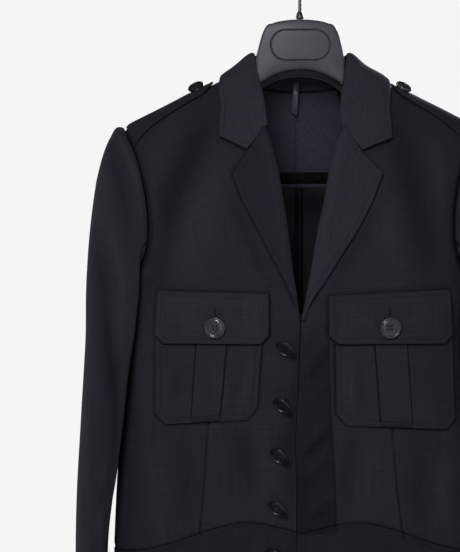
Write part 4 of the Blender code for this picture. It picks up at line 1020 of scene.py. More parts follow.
def sew_skirts(side):
    """The short skirt below the waist seam, front and back."""
    across, down = shares(225, 2.4, start=True), shares(150, 3.0, start=True, end=True)
    edge_x = track(FRONT_EDGE, [FRONT_WAIST_Z])[0, 0] + side * SEAM_GAP / 2
    top_points = waist_points(edge_x, side * WAIST_HALF_WIDTH, across)
    top = pattern(top_points[:, 0], top_points[:, 1])
    hem_x = track(FRONT_EDGE, [HEM_Z])[0, 0] + side * SEAM_GAP / 2
    hem_turn = pattern(hem_x, HEM_Z)[..., 0]
    hem_level = pattern(hem_x, HEM_Z)[..., 1]
    bottom = np.column_stack([hem_turn + (side - hem_turn) * (top[:, 0] - top[0, 0])
                              / (side - top[0, 0]), np.full(len(top), float(hem_level))])
    top[-1, 0] = bottom[-1, 0] = side
    inner = top[0] + down[:, None] * (bottom[0] - top[0])
    outer = top[-1] + down[:, None] * (bottom[-1] - top[-1])
    points, normals = torso_sheet(patch(top, bottom, inner, outer, down, across))
    points = points - np.array([0, 0, SEAM_GAP]) * (1 - down[:, None, None])
    reach = distances(points)
    broad, detail, painted_shade = front_relief(side, points)
    detail += hem_edge(reach["bottom"]) + seam_edge(reach["outer"])
    detail += 0.6 * seam_edge(reach["top"]) + ditch(reach["top"] - TOPSTITCH_IN, 0.5, 0.8)
    # Painted shade darkens the whole front skirt, besides the shade of its folds
    sew(f"skirt_front_{SIDE[side]}", points, normals,
        broad + detail, inside=SATIN, under=("top",), drape_and_shade=painted_shade - 3.0, detail=0.7 * detail)
    turns = side * np.maximum(across, 1e-7)
    levels = top[-1, 1] + down[:, None] * (bottom[-1, 1] - top[-1, 1])
    grid = np.stack(np.broadcast_arrays(turns[None, :], levels), axis=-1)
    points, normals = torso_sheet(grid, True)
    points = points - np.array([0, 0, SEAM_GAP]) * (1 - down[:, None, None])
    reach = distances(points)
    broad = body_drape(points[..., 0], points[..., 2], True)
    detail = hem_edge(reach["bottom"]) + ditch(reach["top"] - TOPSTITCH_IN, 0.5, 0.8)
    detail += sum(seam_edge(reach[edge]) for edge in ("inner", "outer", "top"))
    sew(f"skirt_back_{SIDE[side]}", points, normals,
        broad + detail, inside=SATIN, under=("top",), drape_and_shade=broad, detail=detail)


for side in (-1, 1):
    sew_back(side)
    sew_skirts(side)
print("pieces sewn:", len(made_sheets))

# %% [markdown]
# A tailored sleeve is cut in two, a wide top half and a narrow under half, and eased into the
# armhole so that its head stands a little full. It hangs from the shoulder past the body's side, so
# its upper part wraps round the front. Its folds are drawn on the front as the photograph shows
# them, and others like them fall down the back.

# %% Sleeves
SLEEVE_AROUND = 120
CAP_ROWS = 30
SLEEVE_ROWS = 96
# Each fold: the line it follows in x and z on the viewer's left sleeve, its width and height
SLEEVE_FRONT_FOLDS = (
    (((242, -252), (237, -285), (229, -322)), 11.0, 2.4),
    (((233, -275), (226, -315), (217, -352), (206, -398), (208, -440), (213, -480)), 8.0, 3.0),
    (((244, -318), (240, -350), (233, -398), (229, -445), (222, -492), (216, -539), (214, -586),
      (222, -640), (226, -700)), 8.5, -3.2),
    (((246, -455), (248, -540), (251, -620), (254, -700), (255, -830)), 6.5, 1.6),
    (((219, -262), (206, -300), (197, -340)), 6.0, -1.2),
    (((222, -600), (232, -632), (244, -646)), 5.5, 1.4),
    (((226, -655), (236, -684), (246, -694)), 6.0, 1.6),
    (((233, -720), (236, -770), (239, -820)), 6.0, -1.8),
)
SLEEVE_BACK_FOLDS = (
    (((236, -262), (230, -320), (226, -380)), 8.0, -2.6),
    (((226, -400), (234, -470), (240, -540)), 9.0, 2.6),
    (((244, -520), (236, -570), (226, -600)), 8.0, -3.0),
    (((246, -575), (238, -620), (230, -640)), 7.0, -2.4),
    (((232, -640), (238, -720), (240, -820)), 9.0, 2.2),
    (((250, -300), (250, -400), (249, -480)), 6.0, 1.8),
)


def armhole_loop(side, count):
    """The armhole seam, from the shoulder round the front to the underarm and back."""
    out = np.array([side, 1])
    front = pattern_line(ARMHOLE[:, [1, 0]] * out, count)
    rear = pattern_line(ARMHOLE[:, [2, 0]] * out, count, True)
    front[0, 1] = rear[0, 1] = 0
    front_points = torso(front[:, 0], front[:, 1])
    rear_points = torso(rear[:, 0], rear[:, 1], True)
    return np.vstack([front_points, rear_points[-2:0:-1]])


def sleeve_ring(side, z, angles):
    """One level section of the sleeve, which wraps round the side of the body."""
    outer, inner, front_reach, back_reach, centre_y, half_depth = track(SLEEVE, [z])[0]
    half_width = (outer - inner) / 2
    centre = (outer + inner) / 2
    cosine, sine = np.cos(angles), np.sin(angles)
    wrap = np.where(sine > 0, front_reach, back_reach) * sine**2
    x = centre + half_width * np.sign(cosine) * np.abs(cosine) ** 0.85 - wrap
    y = centre_y - half_depth * np.sign(sine) * np.abs(sine) ** 0.9
    return np.column_stack([side * x, y, np.full(len(angles), float(z))])


def sleeve_grid(side):
    """The whole sleeve: rows run down from the armhole, columns go round."""
    angles = np.linspace(0, 2 * math.pi, SLEEVE_AROUND, endpoint=False)
    hole = armhole_loop(side, SLEEVE_AROUND // 2)
    ring = sleeve_ring(side, SLEEVE_RING_Z, angles)
    fall = unit(sleeve_ring(side, SLEEVE_RING_Z - 4, angles) - ring)
    topness = (1 + np.cos(angles)) / 2
    leave = unit(np.column_stack([side * np.ones(SLEEVE_AROUND),
                                  -0.75 * np.sin(angles) * (1 - topness / 2),
                                  0.30 * topness - 0.5 * (1 - topness) ** 3]))
    reach = np.linalg.norm(ring - hole, axis=1, keepdims=True)
    start = hole + leave * 1.6 * SEAT_GAP
    start_pull = leave * reach * (0.36 + 0.10 * topness[:, None])
    end_pull = fall * reach * (0.75 + 0.40 * topness[:, None])
    grid = []
    for s in np.unique(np.r_[np.linspace(0, 1, CAP_ROWS + 1), 0.006, 0.014]):
        grid.append(curve(start, start_pull, ring, end_pull, s))
    length = SLEEVE_RING_Z - CUFF_Z
    for share in shares(length, length / SLEEVE_ROWS, end=True)[1:]:
        grid.append(sleeve_ring(side, SLEEVE_RING_Z - share * length, angles))
    return np.array(grid)


def sleeve_drape(side, points, normals):
    """The folds of one sleeve, front ones where it faces the viewer and back ones behind."""
    x, z = np.abs(points[..., 0]), points[..., 2]
    shift = 0 if side < 0 else 9
    to_front = np.clip(-normals[..., 1] * 1.8, 0, 1)
    to_back = np.clip(normals[..., 1] * 1.8, 0, 1)
    total = np.zeros(x.shape)
    for line, width, height in SLEEVE_FRONT_FOLDS:
        total += fold(x, z + shift, line, width, height) * to_front
    for line, width, height in SLEEVE_BACK_FOLDS:
        total += fold(x, z - shift, line, width, height) * to_back
    return total


def sew_sleeve(side):
    grid = sleeve_grid(side)
    closed = np.concatenate([grid[:, -1:], grid, grid[:, :1]], axis=1)
    normals = grid_normals(closed, flip=side < 0)[:, 1:-1]
    front_seam, back_seam = round(SLEEVE_AROUND * 7 / 20), round(SLEEVE_AROUND * 14 / 20)
    top = [k % SLEEVE_AROUND for k in range(back_seam, SLEEVE_AROUND + front_seam + 1)]
    under = list(range(front_seam, back_seam + 1))
    drape_and_shade = sleeve_drape(side, grid, normals)
    down = distances(grid)["top"]
    head = 1.3 * bell(down - 8, 7.0) * (1 + np.cos(np.linspace(
        0, 2 * math.pi, SLEEVE_AROUND, endpoint=False)))[None, :]
    for label, columns in (("sleeve_top", top), ("sleeve_under", under)):
        points = grid[:, columns].copy()
        for edge, beside in ((0, 1), (-1, -2)):
            points[:, edge] += unit(points[:, beside] - points[:, edge]) * SEAM_GAP / 2
        reach = distances(points)
        detail = 0.5 * seam_edge(reach["top"]) + hem_edge(reach["bottom"])
        detail += seam_edge(reach["inner"]) + seam_edge(reach["outer"])
        beneath = ("top", "inner", "outer") if label == "sleeve_under" else ("top",)
        broad = (drape_and_shade + head)[:, columns]
        # Painted light brightens the sleeve on its sides, where it faces out to the left and right, and
        # the folds get nearly twice their depth in painted shade
        rim = 6.5 * np.clip((np.abs(normals[:, columns, 0]) - 0.6) / 0.4, 0, 1)
        sew(f"{label}_{SIDE[side]}", points, normals[:, columns],
            broad + detail, inside=SATIN, under=beneath, drape_and_shade=1.9 * broad + rim, detail=0.7 * detail)


for side in (-1, 1):
    sew_sleeve(side)
print("pieces sewn:", len(made_sheets))

# %% [markdown]
# The lapel is the front's own cloth turned back on itself. What shows at the neck is a roll, not a
# cut edge, so its grid starts behind the front, goes round in a half circle and then lies on the
# chest. Its free edge is turned and topstitched, and at the gorge it is seamed to the collar.

# %% Lapels
ROLL_STEPS = 9
# Painted shade on the viewer's left lapel and painted light on the right one, in mm of the second map
LAPEL_PAINTED_LIGHT = {-1: -2.0, 1: 3.6}


def rolled_over(points, normals, outward, inward, radius, tails=()):
    """Adds to a grid the half circle that its first column rolls over, and flat tails behind."""
    first = points[:, 0]
    turned = [(first - outward * 2 * radius - inward * tail, -outward) for tail in tails]
    for angle in np.linspace(math.pi, 0, ROLL_STEPS + 1)[:-1]:
        aim = outward * math.cos(angle) + inward * math.sin(angle)
        turned.append((first - outward * radius + aim * radius, unit(aim)))
    rolled, rolled_normals = (np.stack(part, axis=1) for part in zip(*turned))
    return (np.concatenate([rolled, points], axis=1),
            np.concatenate([rolled_normals, normals], axis=1))


def sew_lapel(side):
    column = COLUMN[side]
    gorge, notch, tip = [np.array(p, float) for p in LAPEL_END[side]]
    across = shares(62, 1.6, end=True)
    notch_at = 0.6
    near_notch = int(np.argmin(np.abs(across - notch_at)))
    notch_at = across[near_notch]
    upper = joined(along([gorge, notch], across[:near_notch + 1] / notch_at),
                   along([notch, tip], (across[near_notch:] - notch_at) / (1 - notch_at)))
    down = shares(235, 2.4, start=True, end=False)
    roll = np.column_stack([ROLL_LINE[:, column], ROLL_LINE[:, 0]]).astype(float)
    roll = np.vstack([gorge, roll[1:-1], (roll[-1, 0] + side * 0.2, -443)])
    inner = along(roll, down)
    inner[:, 0] += side * roll_tuck(inner[:, 1])
    upper = upper + (inner[0] - upper[0]) * (1 - across[:, None]) ** 3
    edge = np.column_stack([LAPEL_EDGE[:, column], LAPEL_EDGE[:, 0]]).astype(float)
    outer = along(edge, down)
    outer[0], outer[-1] = upper[-1], inner[-1] + (side * 2.0, 0)
    lower = inner[-1] + across[:, None] * (outer[-1] - inner[-1])
    place = patch(upper, lower, inner, outer, down, across)
    points, normals = above_front(place[..., 0], place[..., 1], SEAT_GAP + DOUBLE_CLOTH)
    width = np.linalg.norm(place[:, -1] - place[:, 0], axis=1)[:, None]
    from_roll = across[None, :] * width
    lift = (SEAT_GAP + DOUBLE_CLOTH
            + 2.0 * bell(from_roll - 7, 13.0) * (1 - 0.5 * down)[:, None])
    lift = lift + 1.3 * np.exp(-down * 235 / 28)[:, None]
    free_edge = np.vstack([notch, outer])
    x, z = place[..., 0], place[..., 1]
    flat = np.clip(width / 14, 0, 1)
    detail = turned_edge(distance_to(free_edge, x, z)) * flat
    detail += 0.35 * seam_edge(distance_to([gorge, notch], x, z))
    broad = body_drape(x, z) * np.clip(from_roll / 40, 0, 1) * 0.7
    relief = broad + detail
    points = points + normals * (lift + relief)[..., None]
    behind = -(CLOTH + 0.5) * np.ones(len(down))
    radius = ((lift + relief)[:, 0] - behind)[:, None] / 2
    inward = np.zeros((len(down), 3)) - (side, 0, 0)
    inward = unit(inward - np.sum(inward * normals[:, 0], axis=1, keepdims=True) * normals[:, 0])
    squeeze = np.minimum(1, (roll_tuck(inner[:, 1, None]) + 0.2) / radius)
    points, normals = rolled_over(points, normals, normals[:, 0], inward * squeeze, radius)
    rolled = ((0, 0), (ROLL_STEPS, 0))
    # Painted light along the lapel's roll, on top of the painted light of the right lapel and the
    # painted shade of the left one
    painted_shade = np.pad(broad + LAPEL_PAINTED_LIGHT[side] + 1.6 * bell(from_roll - 9, 7), rolled,
                  mode="edge")
    sew(f"lapel_{SIDE[side]}", points, normals, 0,
        thickness=1.8, drape_and_shade=painted_shade,
        detail=np.pad(detail, rolled, mode="edge"))


for side in (-1, 1):
    sew_lapel(side)

# %% [markdown]
# The collar is one strip that folds over from the stand behind the neck and falls on the shoulders.
# It goes on round to the two notches in front, where it lies on the chest beside the lapels. As at
# the lapel, the grid begins inside the fold and comes over it.

# %% Collar and stand
COLLAR_COUNT = 112
COLLAR_ROWS = 30
COLLAR_LIFT = 3.8
FOLD_RADIUS = 2.2
# The collar runs on down inside its fold as far as this
FOLD_TAILS = (4.5, 2.97, 1.485)


def collar_fold(side, count):
    """Where the collar folds, from the gorge over the shoulder to the back of the neck."""
    column = COLUMN[side]
    front = COLLAR_FOLD[:, [column, 3, 0]].astype(float)
    apex = front[-1]
    rear = [(apex[0] * row[0], row[1], row[2]) for row in COLLAR_BACK]
    return along(np.vstack([front, rear]), count)


def collar_outer(side, count):
    """The free edge of the collar, from its point round to the centre of the back."""
    point = np.array(COLLAR_END[side][2], float)
    widest = abs(point[0]) - 0.5
    x = side * np.array([abs(point[0]), widest, widest - 0.8, widest + 1, widest])
    z = np.array([point[1], -214, -195, -178, -168.5])
    front, normals = on_front(x, z)
    front = front + normals * np.array([4.0, 3.8, 3.7, 3.8, 4.4])[:, None]
    share, rear_z = np.array([(0.92, -164), (0.82, -171), (0.58, -178), (0.28, -182), (0, -183)]).T
    rear, normals = torso_sheet(pattern(side * widest * share, rear_z, True), True)
    return along(np.vstack([front, rear + normals * 4.2]), count)


def laid_on_front(points):
    """Points lifted to lie just over the front at the same x and z."""
    limit = shoulder_line(points[:, 0]) - 4
    laid, normals = on_front(points[:, 0], np.minimum(points[:, 2], limit))
    laid = laid + normals * COLLAR_LIFT
    above = smooth(np.clip((points[:, 2] - limit + 16) / 16, 0, 1)[:, None])
    return laid * (1 - above) + points * above


def collar_half(side):
    """Half of the collar's fall, from its front end to the centre of the back."""
    length = 190.0
    at = shares(length, length / COLLAR_COUNT, start=True)
    fold_line, edge = collar_fold(side, at), collar_outer(side, at)
    share = shares(52.0, 52.0 / COLLAR_ROWS, end=True, marks=[26.0])[:, None]
    gorge, notch, point = [np.array(p, float) for p in COLLAR_END[side]]
    half = int(np.argmin(np.abs(share - 0.5)))
    end = joined(along([gorge, notch], share[:half + 1, 0] / share[half, 0]),
                 along([notch, point], (share[half:, 0] - share[half, 0]) / (1 - share[half, 0])))
    straight_end = gorge + share * (point - gorge)
    grid = []
    for k, along_share in enumerate(at):
        span = np.linalg.norm(edge[k] - fold_line[k])
        outward = unit(fold_line[k] * (1, 0.6, 0))
        start_pull = (outward * 0.5 + np.array([0, 0, 0.22])) * span * 0.9
        end_pull = (outward * 0.35 + np.array([0, 0, -1.0])) * span * 0.75
        curved = curve(fold_line[k], start_pull, edge[k], end_pull, share)
        straight = fold_line[k] + (edge[k] - fold_line[k]) * share
        bend = max(1 - along_share / 0.30, 0)
        straight[:, [0, 2]] += (end - straight_end) * bend
        along_front = min(along_share / 0.42, 1)
        mix = smooth(along_front)
        laid = laid_on_front(straight) if along_front < 1 else straight
        grid.append(laid * (1 - mix) + curved * mix)
    return np.array(grid)


def smoothed(directions, reach=6):
    """Directions along a line, each averaged with its neighbours."""
    padded = np.pad(directions, ((reach, reach), (0, 0)), mode="edge")
    total = sum(padded[k:k + len(directions)] for k in range(2 * reach + 1))
    return unit(total)


def sew_collar():
    left, right = collar_half(-1), collar_half(1)
    grid = np.concatenate([left, right[-2::-1]], axis=0)
    normals = grid_normals(grid, flip=True)
    edge_line = {side: np.vstack([COLLAR_END[side][1], COLLAR_END[side][2]]) for side in (-1, 1)}
    reach = distances(grid)
    detail, broad = turned_edge(reach["outer"]), np.zeros(grid.shape[:2])
    x, z = grid[..., 0], grid[..., 2]
    in_front = grid[..., 1] < -40
    for side in (-1, 1):
        own = in_front & (np.sign(x) == side)
        detail += turned_edge(distance_to(edge_line[side], x, z)) * own
        detail += 0.35 * seam_edge(distance_to(COLLAR_END[side][:2], x, z)) * own
        broad += 0.7 * body_drape(x, z) * own * np.clip(reach["inner"] / 30, 0, 1)
    surface = grid + normals * (broad + detail + DOUBLE_CLOTH / 2 - 0.4)[..., None]
    outward = smoothed(normals[:, 0])
    inward = unit(np.cross(smoothed(np.gradient(surface[:, 0], axis=0)), outward))
    inward *= -np.sign(np.sum(inward * (grid[:, 2] - grid[:, 0]), axis=1, keepdims=True))
    points, normals = rolled_over(surface, normals, outward, inward, FOLD_RADIUS, FOLD_TAILS)
    folded = ((0, 0), (ROLL_STEPS + len(FOLD_TAILS), 0))
    # Painted light lightens the whole collar's colour
    sew("collar_fall", points, normals, 0, thickness=1.6,
        drape_and_shade=np.pad(broad + 6.0, folded, mode="edge"), detail=np.pad(detail, folded, mode="edge"))


def sew_stand():
    """The collar's stand behind the neck, from the neckline up to the fold."""
    fine = 40
    halves = [pattern_line(BACK_NECKLINE * (side, 1), fine, True) for side in (-1, 1)]
    halves[0][-1, 0] = 1e-5
    neckline = np.vstack([halves[0], halves[1][-2::-1]])
    foot = torso_sheet(neckline, True)[0] + (0, 0, 1.4 * SEAT_GAP)
    rear = [collar_fold(side, 12)[-6:] for side in (-1, 1)]
    fold_line = along(np.vstack([rear[0], rear[1][-2::-1]]), 2 * fine)
    inward = unit(fold_line * (1, 1, 0) - (0, 10, 0))
    head = fold_line - inward * 3.4 - (0, 0, 2.0)
    share = np.linspace(0, 1, 16)[:, None, None]
    stand = head[None] * (1 - share) + foot[None] * share
    normals = grid_normals(stand)
    normals *= np.sign(np.sum(normals * inward[None], axis=-1, keepdims=True))
    relief = -0.3 * bell(share[..., 0] - 0.4, 0.03)
    # Painted light lightens the stand's colour, which lies in shadow under the hanger
    sew("collar_stand", stand, normals, relief, drape_and_shade=6.0)


sew_collar()
sew_stand()
print("pieces sewn:", len(made_sheets))

# %% [markdown]
# Inside the open neck the photograph shows a dull satin facing with a seam down its middle, a
# pleated satin lining below it, and a satin loop to hang the jacket by.

# %% Neck facing, lining and loop


def inside_back(x, z):
    """Points on the inner face of the back, clear of the cloth, at a given x and z."""
    points, normals = torso_sheet(pattern(x, z, True), True)
    return points - normals * (CLOTH + INSIDE_GAP), normals


def sew_inside():
    columns = 97
    top = along(np.vstack([FACING_TOP * (-1, 1), FACING_TOP[-2::-1]]), columns - 1)
    share = shares(115, 2.2, start=True, end=True)[:, None]
    x = top[:, 0] * (1 + 0.6 * share)
    x = np.where(np.abs(x) < 1e-4, 1e-4, x)
    z = (top[:, 1] - 1.5) * (1 - share) + FACING_FOOT_Z * share
    points, normals = inside_back(x, z)
    seam_x = -3.0 + 2.0 * share
    relief = 1.0 * bell(x - seam_x, 1.3) + seam_edge(distances(points)["bottom"]) * -0.6
    relief = -2.4 + relief * 0.8
    sew("neck_facing", points, -normals, -relief - 2.8, FACING,
        thickness=1.4)
    x = x[-1:] * (1 + 0.2 * share)
    z = (FACING_FOOT_Z - SEAM_GAP) * (1 - share) + LINING_FOOT_Z * share
    points, normals = inside_back(x, np.broadcast_to(z, x.shape))
    pleat = 2.2 * bell(x - 2.0, 2.2) - 1.2 * bell(x + 6.0, 4.0)
    soft = 0.8 * np.sin(x / 9.0 + z / 60.0)
    sew("back_lining", points, -normals, pleat + soft, SATIN, thickness=1.0)


def sew_loop():
    """The loop is a folded satin strip, a little twisted, with a slanted end."""
    width = np.linspace(0, 1, 13)[None, :]
    share = np.linspace(0, 1, 30)[:, None]
    x = -8.0 + 8.8 * width - 3.4 * share
    z = -160 - (35.0 + 4.5 * width) * share
    points, normals = inside_back(np.broadcast_to(x, z.shape), np.minimum(z, -172))
    points[..., 2] = z
    bow = 5.0 + 3.4 * np.sin(share * math.pi * 0.9) + 4.5 * (width - 0.45) * share
    edge = 1.6 * np.exp(-width * 8.8 / 1.1) + 0.5 * np.exp(-(1 - width) * 8.8 / 0.8)
    sew("hanging_loop", points, -normals, bow - edge, RIBBON, thickness=1.1)


sew_inside()
sew_loop()
print("pieces sewn:", len(made_sheets))

# %% [markdown]
# Each shoulder has a strap of doubled cloth, sewn into the sleeve seam and buttoned near its pointed
# tip. It bends with the shoulder, and is topstitched all round.

# %% Epaulettes
EPAULETTE_STITCH_IN = 5.0


def epaulette_outline(side):
    """Half of the strap's outline, as distance from the centre of the coat and half width."""
    outer, tip = EPAULETTE_ENDS[side]
    wide, narrow = EPAULETTE_HALF_WIDTHS
    return [(outer, wide), (tip + 12, narrow), (tip + 5, narrow * 0.72), (tip, narrow * 0.22)]


def sew_epaulette(side):
    outline = epaulette_outline(side)
    outer, tip = EPAULETTE_ENDS[side]
    length = outer - tip
    rows = shares(length, 1.5, end=True, marks=[length - 12, length - 5])
    x = outer - length * rows
    corners = np.array(outline[::-1])
    half = np.interp(x, corners[:, 0], corners[:, 1])
    columns = shares(2 * EPAULETTE_HALF_WIDTHS[0], 1.5, start=True, end=True) * 2 - 1
    grid_x = np.broadcast_to(x[:, None], (len(x), len(columns)))
    grid_y = half[:, None] * columns[None, :]
    hole = armhole_loop(1, 12)
    front, rear = hole[:7][::-1], hole[[0] + list(range(-1, -7, -1))]
    limit = np.where(grid_y < 0, np.interp(grid_y, front[:, 1], front[:, 0]),
                     np.interp(grid_y, rear[:, 1], rear[:, 0]))
    bend = np.clip((grid_x - 165) / (outer - 165), 0, 1)
    flat_x = grid_x
    grid_x = grid_x - bend * (outer - np.minimum(limit - 1.4, outer))
    points, normals = on_shoulder(side * grid_x, grid_y)
    edge = np.array(outline + [(px, -py) for px, py in outline[::-1]])
    from_edge = distance_to(edge, flat_x, grid_y)
    detail = -0.85 * np.exp(-from_edge / 0.6) + ditch(from_edge - EPAULETTE_STITCH_IN, 0.5, 0.75)
    relief = EPAULETTE_LIFT + DOUBLE_CLOTH + detail
    relief += 0.5 * np.sin(grid_y / 15 + side) * bell(flat_x - 165, 30)
    relief -= 2.6 * np.exp(-(outer - flat_x) / 2.5)
    # Painted shade darkens the strap a little
    sew(f"epaulette_{SIDE[side]}", points, normals,
        relief, thickness=DOUBLE_CLOTH, drape_and_shade=-1.2, detail=detail)


for side in (-1, 1):
    sew_epaulette(side)

# %% [markdown]
# The patch pockets have a box pleat with two sharp folds, and a flap with cut corners buttoned over
# them. Both follow the folds of the front that they lie on.

# %% Pockets and flaps
# Painted light on the flaps, more on the viewer's left one, in mm of the second map
FLAP_PAINTED_LIGHT = {-1: 2.4, 1: 1.2}


def cut_corners(across, width, cut):
    """How much shorter a column is where the corners are cut off."""
    return np.maximum(cut - across, 0) + np.maximum(cut - (width - across), 0)


def sew_pocket(side):
    shape = POCKET[side]
    edge = np.sign(shape["flap"][1] - shape["flap"][0])
    width = abs(shape["foot"][1] - shape["foot"][0])
    top = np.array([shape["flap"][0] + edge * shape["inset"], *shape["pleat"],
                    shape["flap"][1] - edge])
    foot = np.array([shape["foot"][0], *shape["pleat_foot"], shape["foot"][1]])
    knots = np.array([0, abs(foot[1] - foot[0]), abs(foot[2] - foot[0]), width])
    marks = [k + d for k in knots[1:3] for d in (-1.7, -1.2, -0.8, -0.35, 0, 0.35, 0.8, 1.2, 1.7)]
    across = shares(width, 2.0, start=True, end=True, marks=marks) * width
    top_x, foot_x = np.interp(across, knots, top), np.interp(across, knots, foot)
    inner_z, outer_z = POCKET_FOOT[side]
    foot_z = inner_z + (outer_z - inner_z) * across / width
    foot_z += cut_corners(across, width, POCKET_CHAMFER)
    share = shares(130, 2.0, end=True)[:, None]
    x = top_x * (1 - share) + foot_x * share
    z = POCKET_TOP * (1 - share) + foot_z * share
    points, normals = above_front(x, z, SEAT_GAP + CLOTH)
    in_pleat = np.clip(np.minimum(across - knots[1], knots[2] - across) / 0.5 + 0.5, 0, 1)
    beside = np.maximum(knots[1] - across, across - knots[2])
    pleat = PLEAT_RISE * in_pleat + ditch(beside - 0.8, 1.5, 0.7) * (beside > 0)
    pleat += 0.35 * bell(beside + 1.6, 1.2)
    detail = turned_edge(distance_to(pocket_outline(side), x, z))
    detail += pressed(x, z, [flap_outline(side)])
    detail += pleat[None, :] * np.clip((1 - share) * 130 / 8, 0.35, 1)
    broad = body_drape(x, z)
    broad += fold(x, z, ((top[0] + edge * 14, -490), (foot[0] + edge * 22, -552)), 7, 1.8)
    broad += fold(x, z, ((top[0] + edge * 30, -484), (foot[0] + edge * 32, -552)), 6, -2.0)
    broad += fold(x, z, ((foot[3] - edge * 26, -490), (foot[3] - edge * 16, -552)), 8, -1.6)
    # Painted light lightens the pocket a little, besides the painted shade of its folds
    sew(f"pocket_{SIDE[side]}", points, normals,
        SEAT_GAP + CLOTH + broad + detail,
        drape_and_shade=broad + 1.0, detail=detail - PLEAT_RISE * in_pleat[None, :])


def sew_flap(side):
    inner, outer = POCKET[side]["flap"]
    edge = np.sign(outer - inner)
    width = abs(outer - inner)
    across = shares(width, 1.8, start=True, end=True) * width
    x = inner + edge * across
    top_z = np.interp(across, (0, width), FLAP_TOP[side])
    foot_z = FLAP_FOOT + cut_corners(across, width, FLAP_CHAMFER)
    share = shares(58, 1.3, start=True, end=True)[:, None]
    z = top_z * (1 - share) + foot_z * share
    slant = FLAP_SLANT[side] * (1 - share) * np.clip((across - width * 0.6) / (width * 0.4), 0, 1)
    x = np.broadcast_to(x, z.shape) - edge * slant
    rise = FLAP_LIFT * smooth(np.clip(share / 0.30, 0, 1))
    points, normals = above_front(x, z, SEAT_GAP + CLOTH + rise)
    detail = turned_edge(distance_to(flap_outline(side), x, z))
    broad = body_drape(x, z)
    button_x = POCKET[side]["button"]
    from_button = np.hypot(x - button_x, z - POCKET_BUTTON_Z)
    broad -= 1.1 * bell(from_button, 11)
    broad += fold(x, z, ((button_x - 12, -449), (button_x - 42, -441)), 6, 1.3)
    broad += fold(x, z, ((button_x + 12, -449), (button_x + 44, -443)), 6, 1.1)
    broad += fold(x, z, ((button_x + 24, -420), (button_x + 22, -462)), 6, -1.2)
    detail += ditch(distance_to(((button_x, -438), (button_x, -429)), x, z), 1.4, 0.8)
    sew(f"flap_{SIDE[side]}", points, normals,
        SEAT_GAP + CLOTH + rise + broad + detail,
        drape_and_shade=broad + FLAP_PAINTED_LIGHT[side], detail=detail)


for side in (-1, 1):
    sew_pocket(side)
    sew_flap(side)
print("pieces sewn:", len(made_sheets))

# %% [markdown]
# Under the front edge a strip of the same wool runs on behind both fronts, as the button stand of
# the real coat does, so the slit between them is dark; painted shade darkens the strip's colour too.

# %% Button stand


def sew_button_stand():
    z = np.linspace(-436, HEM_Z + 1, 150)
    edge = track(FRONT_EDGE, z)[:, 0]
    across = np.linspace(-9, 9, 9)
    x = edge[:, None] + across[None, :] * np.clip((-434 - z) / 24, 0.25, 1)[:, None]
    points, normals = on_front(x, np.broadcast_to(z[:, None], x.shape))
    sew("button_stand", points, normals, body_drape(x, points[..., 2]) - CLOTH - 1.9,
        thickness=1.0, drape_and_shade=-6.0, covers=False)


sew_button_stand()

# %% [markdown]
# Sewing comes last. Lines drawn in the picture's plane are cast onto the finished cloth, and a
# stitch is laid every 3.2 mm: a short strand, thicker in its middle, that sinks into the cloth at
# both ends. The lines run 6 mm inside the turned edges. The buttonholes are ringed by fine cross
# stitches.

# %% Stitches
STITCH_PITCH, STITCH_LENGTH, STITCH_RADIUS = 3.2, 2.5, 0.30
stitches = []


def cloth_tree(names):
    """The finished surfaces of some pieces, ready to be met by rays."""
    spots, faces, start = [], [], 0
    for name in names:
        rows, columns = surfaces[name].shape[:2]
        index = start + np.arange(rows * columns).reshape(rows, columns)
        quads = np.stack([index[:-1, :-1], index[:-1, 1:], index[1:, 1:], index[1:, :-1]], axis=-1)
        faces += quads.reshape(-1, 4).tolist()
        spots.append(surfaces[name].reshape(-1, 3))
        start += rows * columns
    return BVHTree.FromPolygons(np.vstack(spots).tolist(), faces)


def spaced(line, pitch):
    """Points along a line of corners, one every pitch, and the direction at each."""
    line = np.asarray(line, float)
    lengths = np.r_[0, np.cumsum(np.linalg.norm(np.diff(line, axis=0), axis=1))]
    at = np.arange(pitch / 2, lengths[-1], pitch)
    spots = np.column_stack([np.interp(at, lengths, line[:, k]) for k in range(line.shape[1])])
    ahead = np.column_stack([np.interp(at + 0.4, lengths, values) - np.interp(at - 0.4, lengths, values)
                             for values in line.T])
    return spots, unit(ahead)


def inset(line, distance):
    """A line of corners moved sideways, to the left of its direction, in the picture's plane."""
    line = np.asarray(line, float)
    runs = np.diff(line, axis=0)
    sides = unit(np.column_stack([-runs[:, 1], runs[:, 0]]))
    closed = np.allclose(line[0], line[-1])
    before = np.vstack([sides[-1:] if closed else sides[:1], sides])
    after = np.vstack([sides, sides[:1] if closed else sides[-1:]])
    total = before + after
    return line + total * distance / (1 + np.sum(before * after, axis=1, keepdims=True))


def sew_line(tree, line, aim=(0, 1, 0), pitch=STITCH_PITCH, length=STITCH_LENGTH,
             radius=STITCH_RADIUS, crosswise=False):
    """Stitches along a line in the picture's plane, or over the shoulder if aim points down."""
    aim = Vector(aim)
    spots, runs = spaced(line, pitch)
    for spot, run in zip(spots, runs):
        if aim.z:
            start, along_run = Vector((*spot, 100.0)), Vector((*run, 0.0))
        else:
            start, along_run = Vector((spot[0], -900.0 * aim.y, spot[1])), Vector((run[0], 0.0, run[1]))
        hit, normal, _, _ = tree.ray_cast(start, aim)
        if hit is None:
            continue
        if normal.dot(aim) > 0:
            normal = -normal
        if crosswise:
            along_run = along_run.cross(aim)
        along_run = (along_run - normal * along_run.dot(normal)).normalized()
        stitches.append((hit, along_run, normal, length, radius))


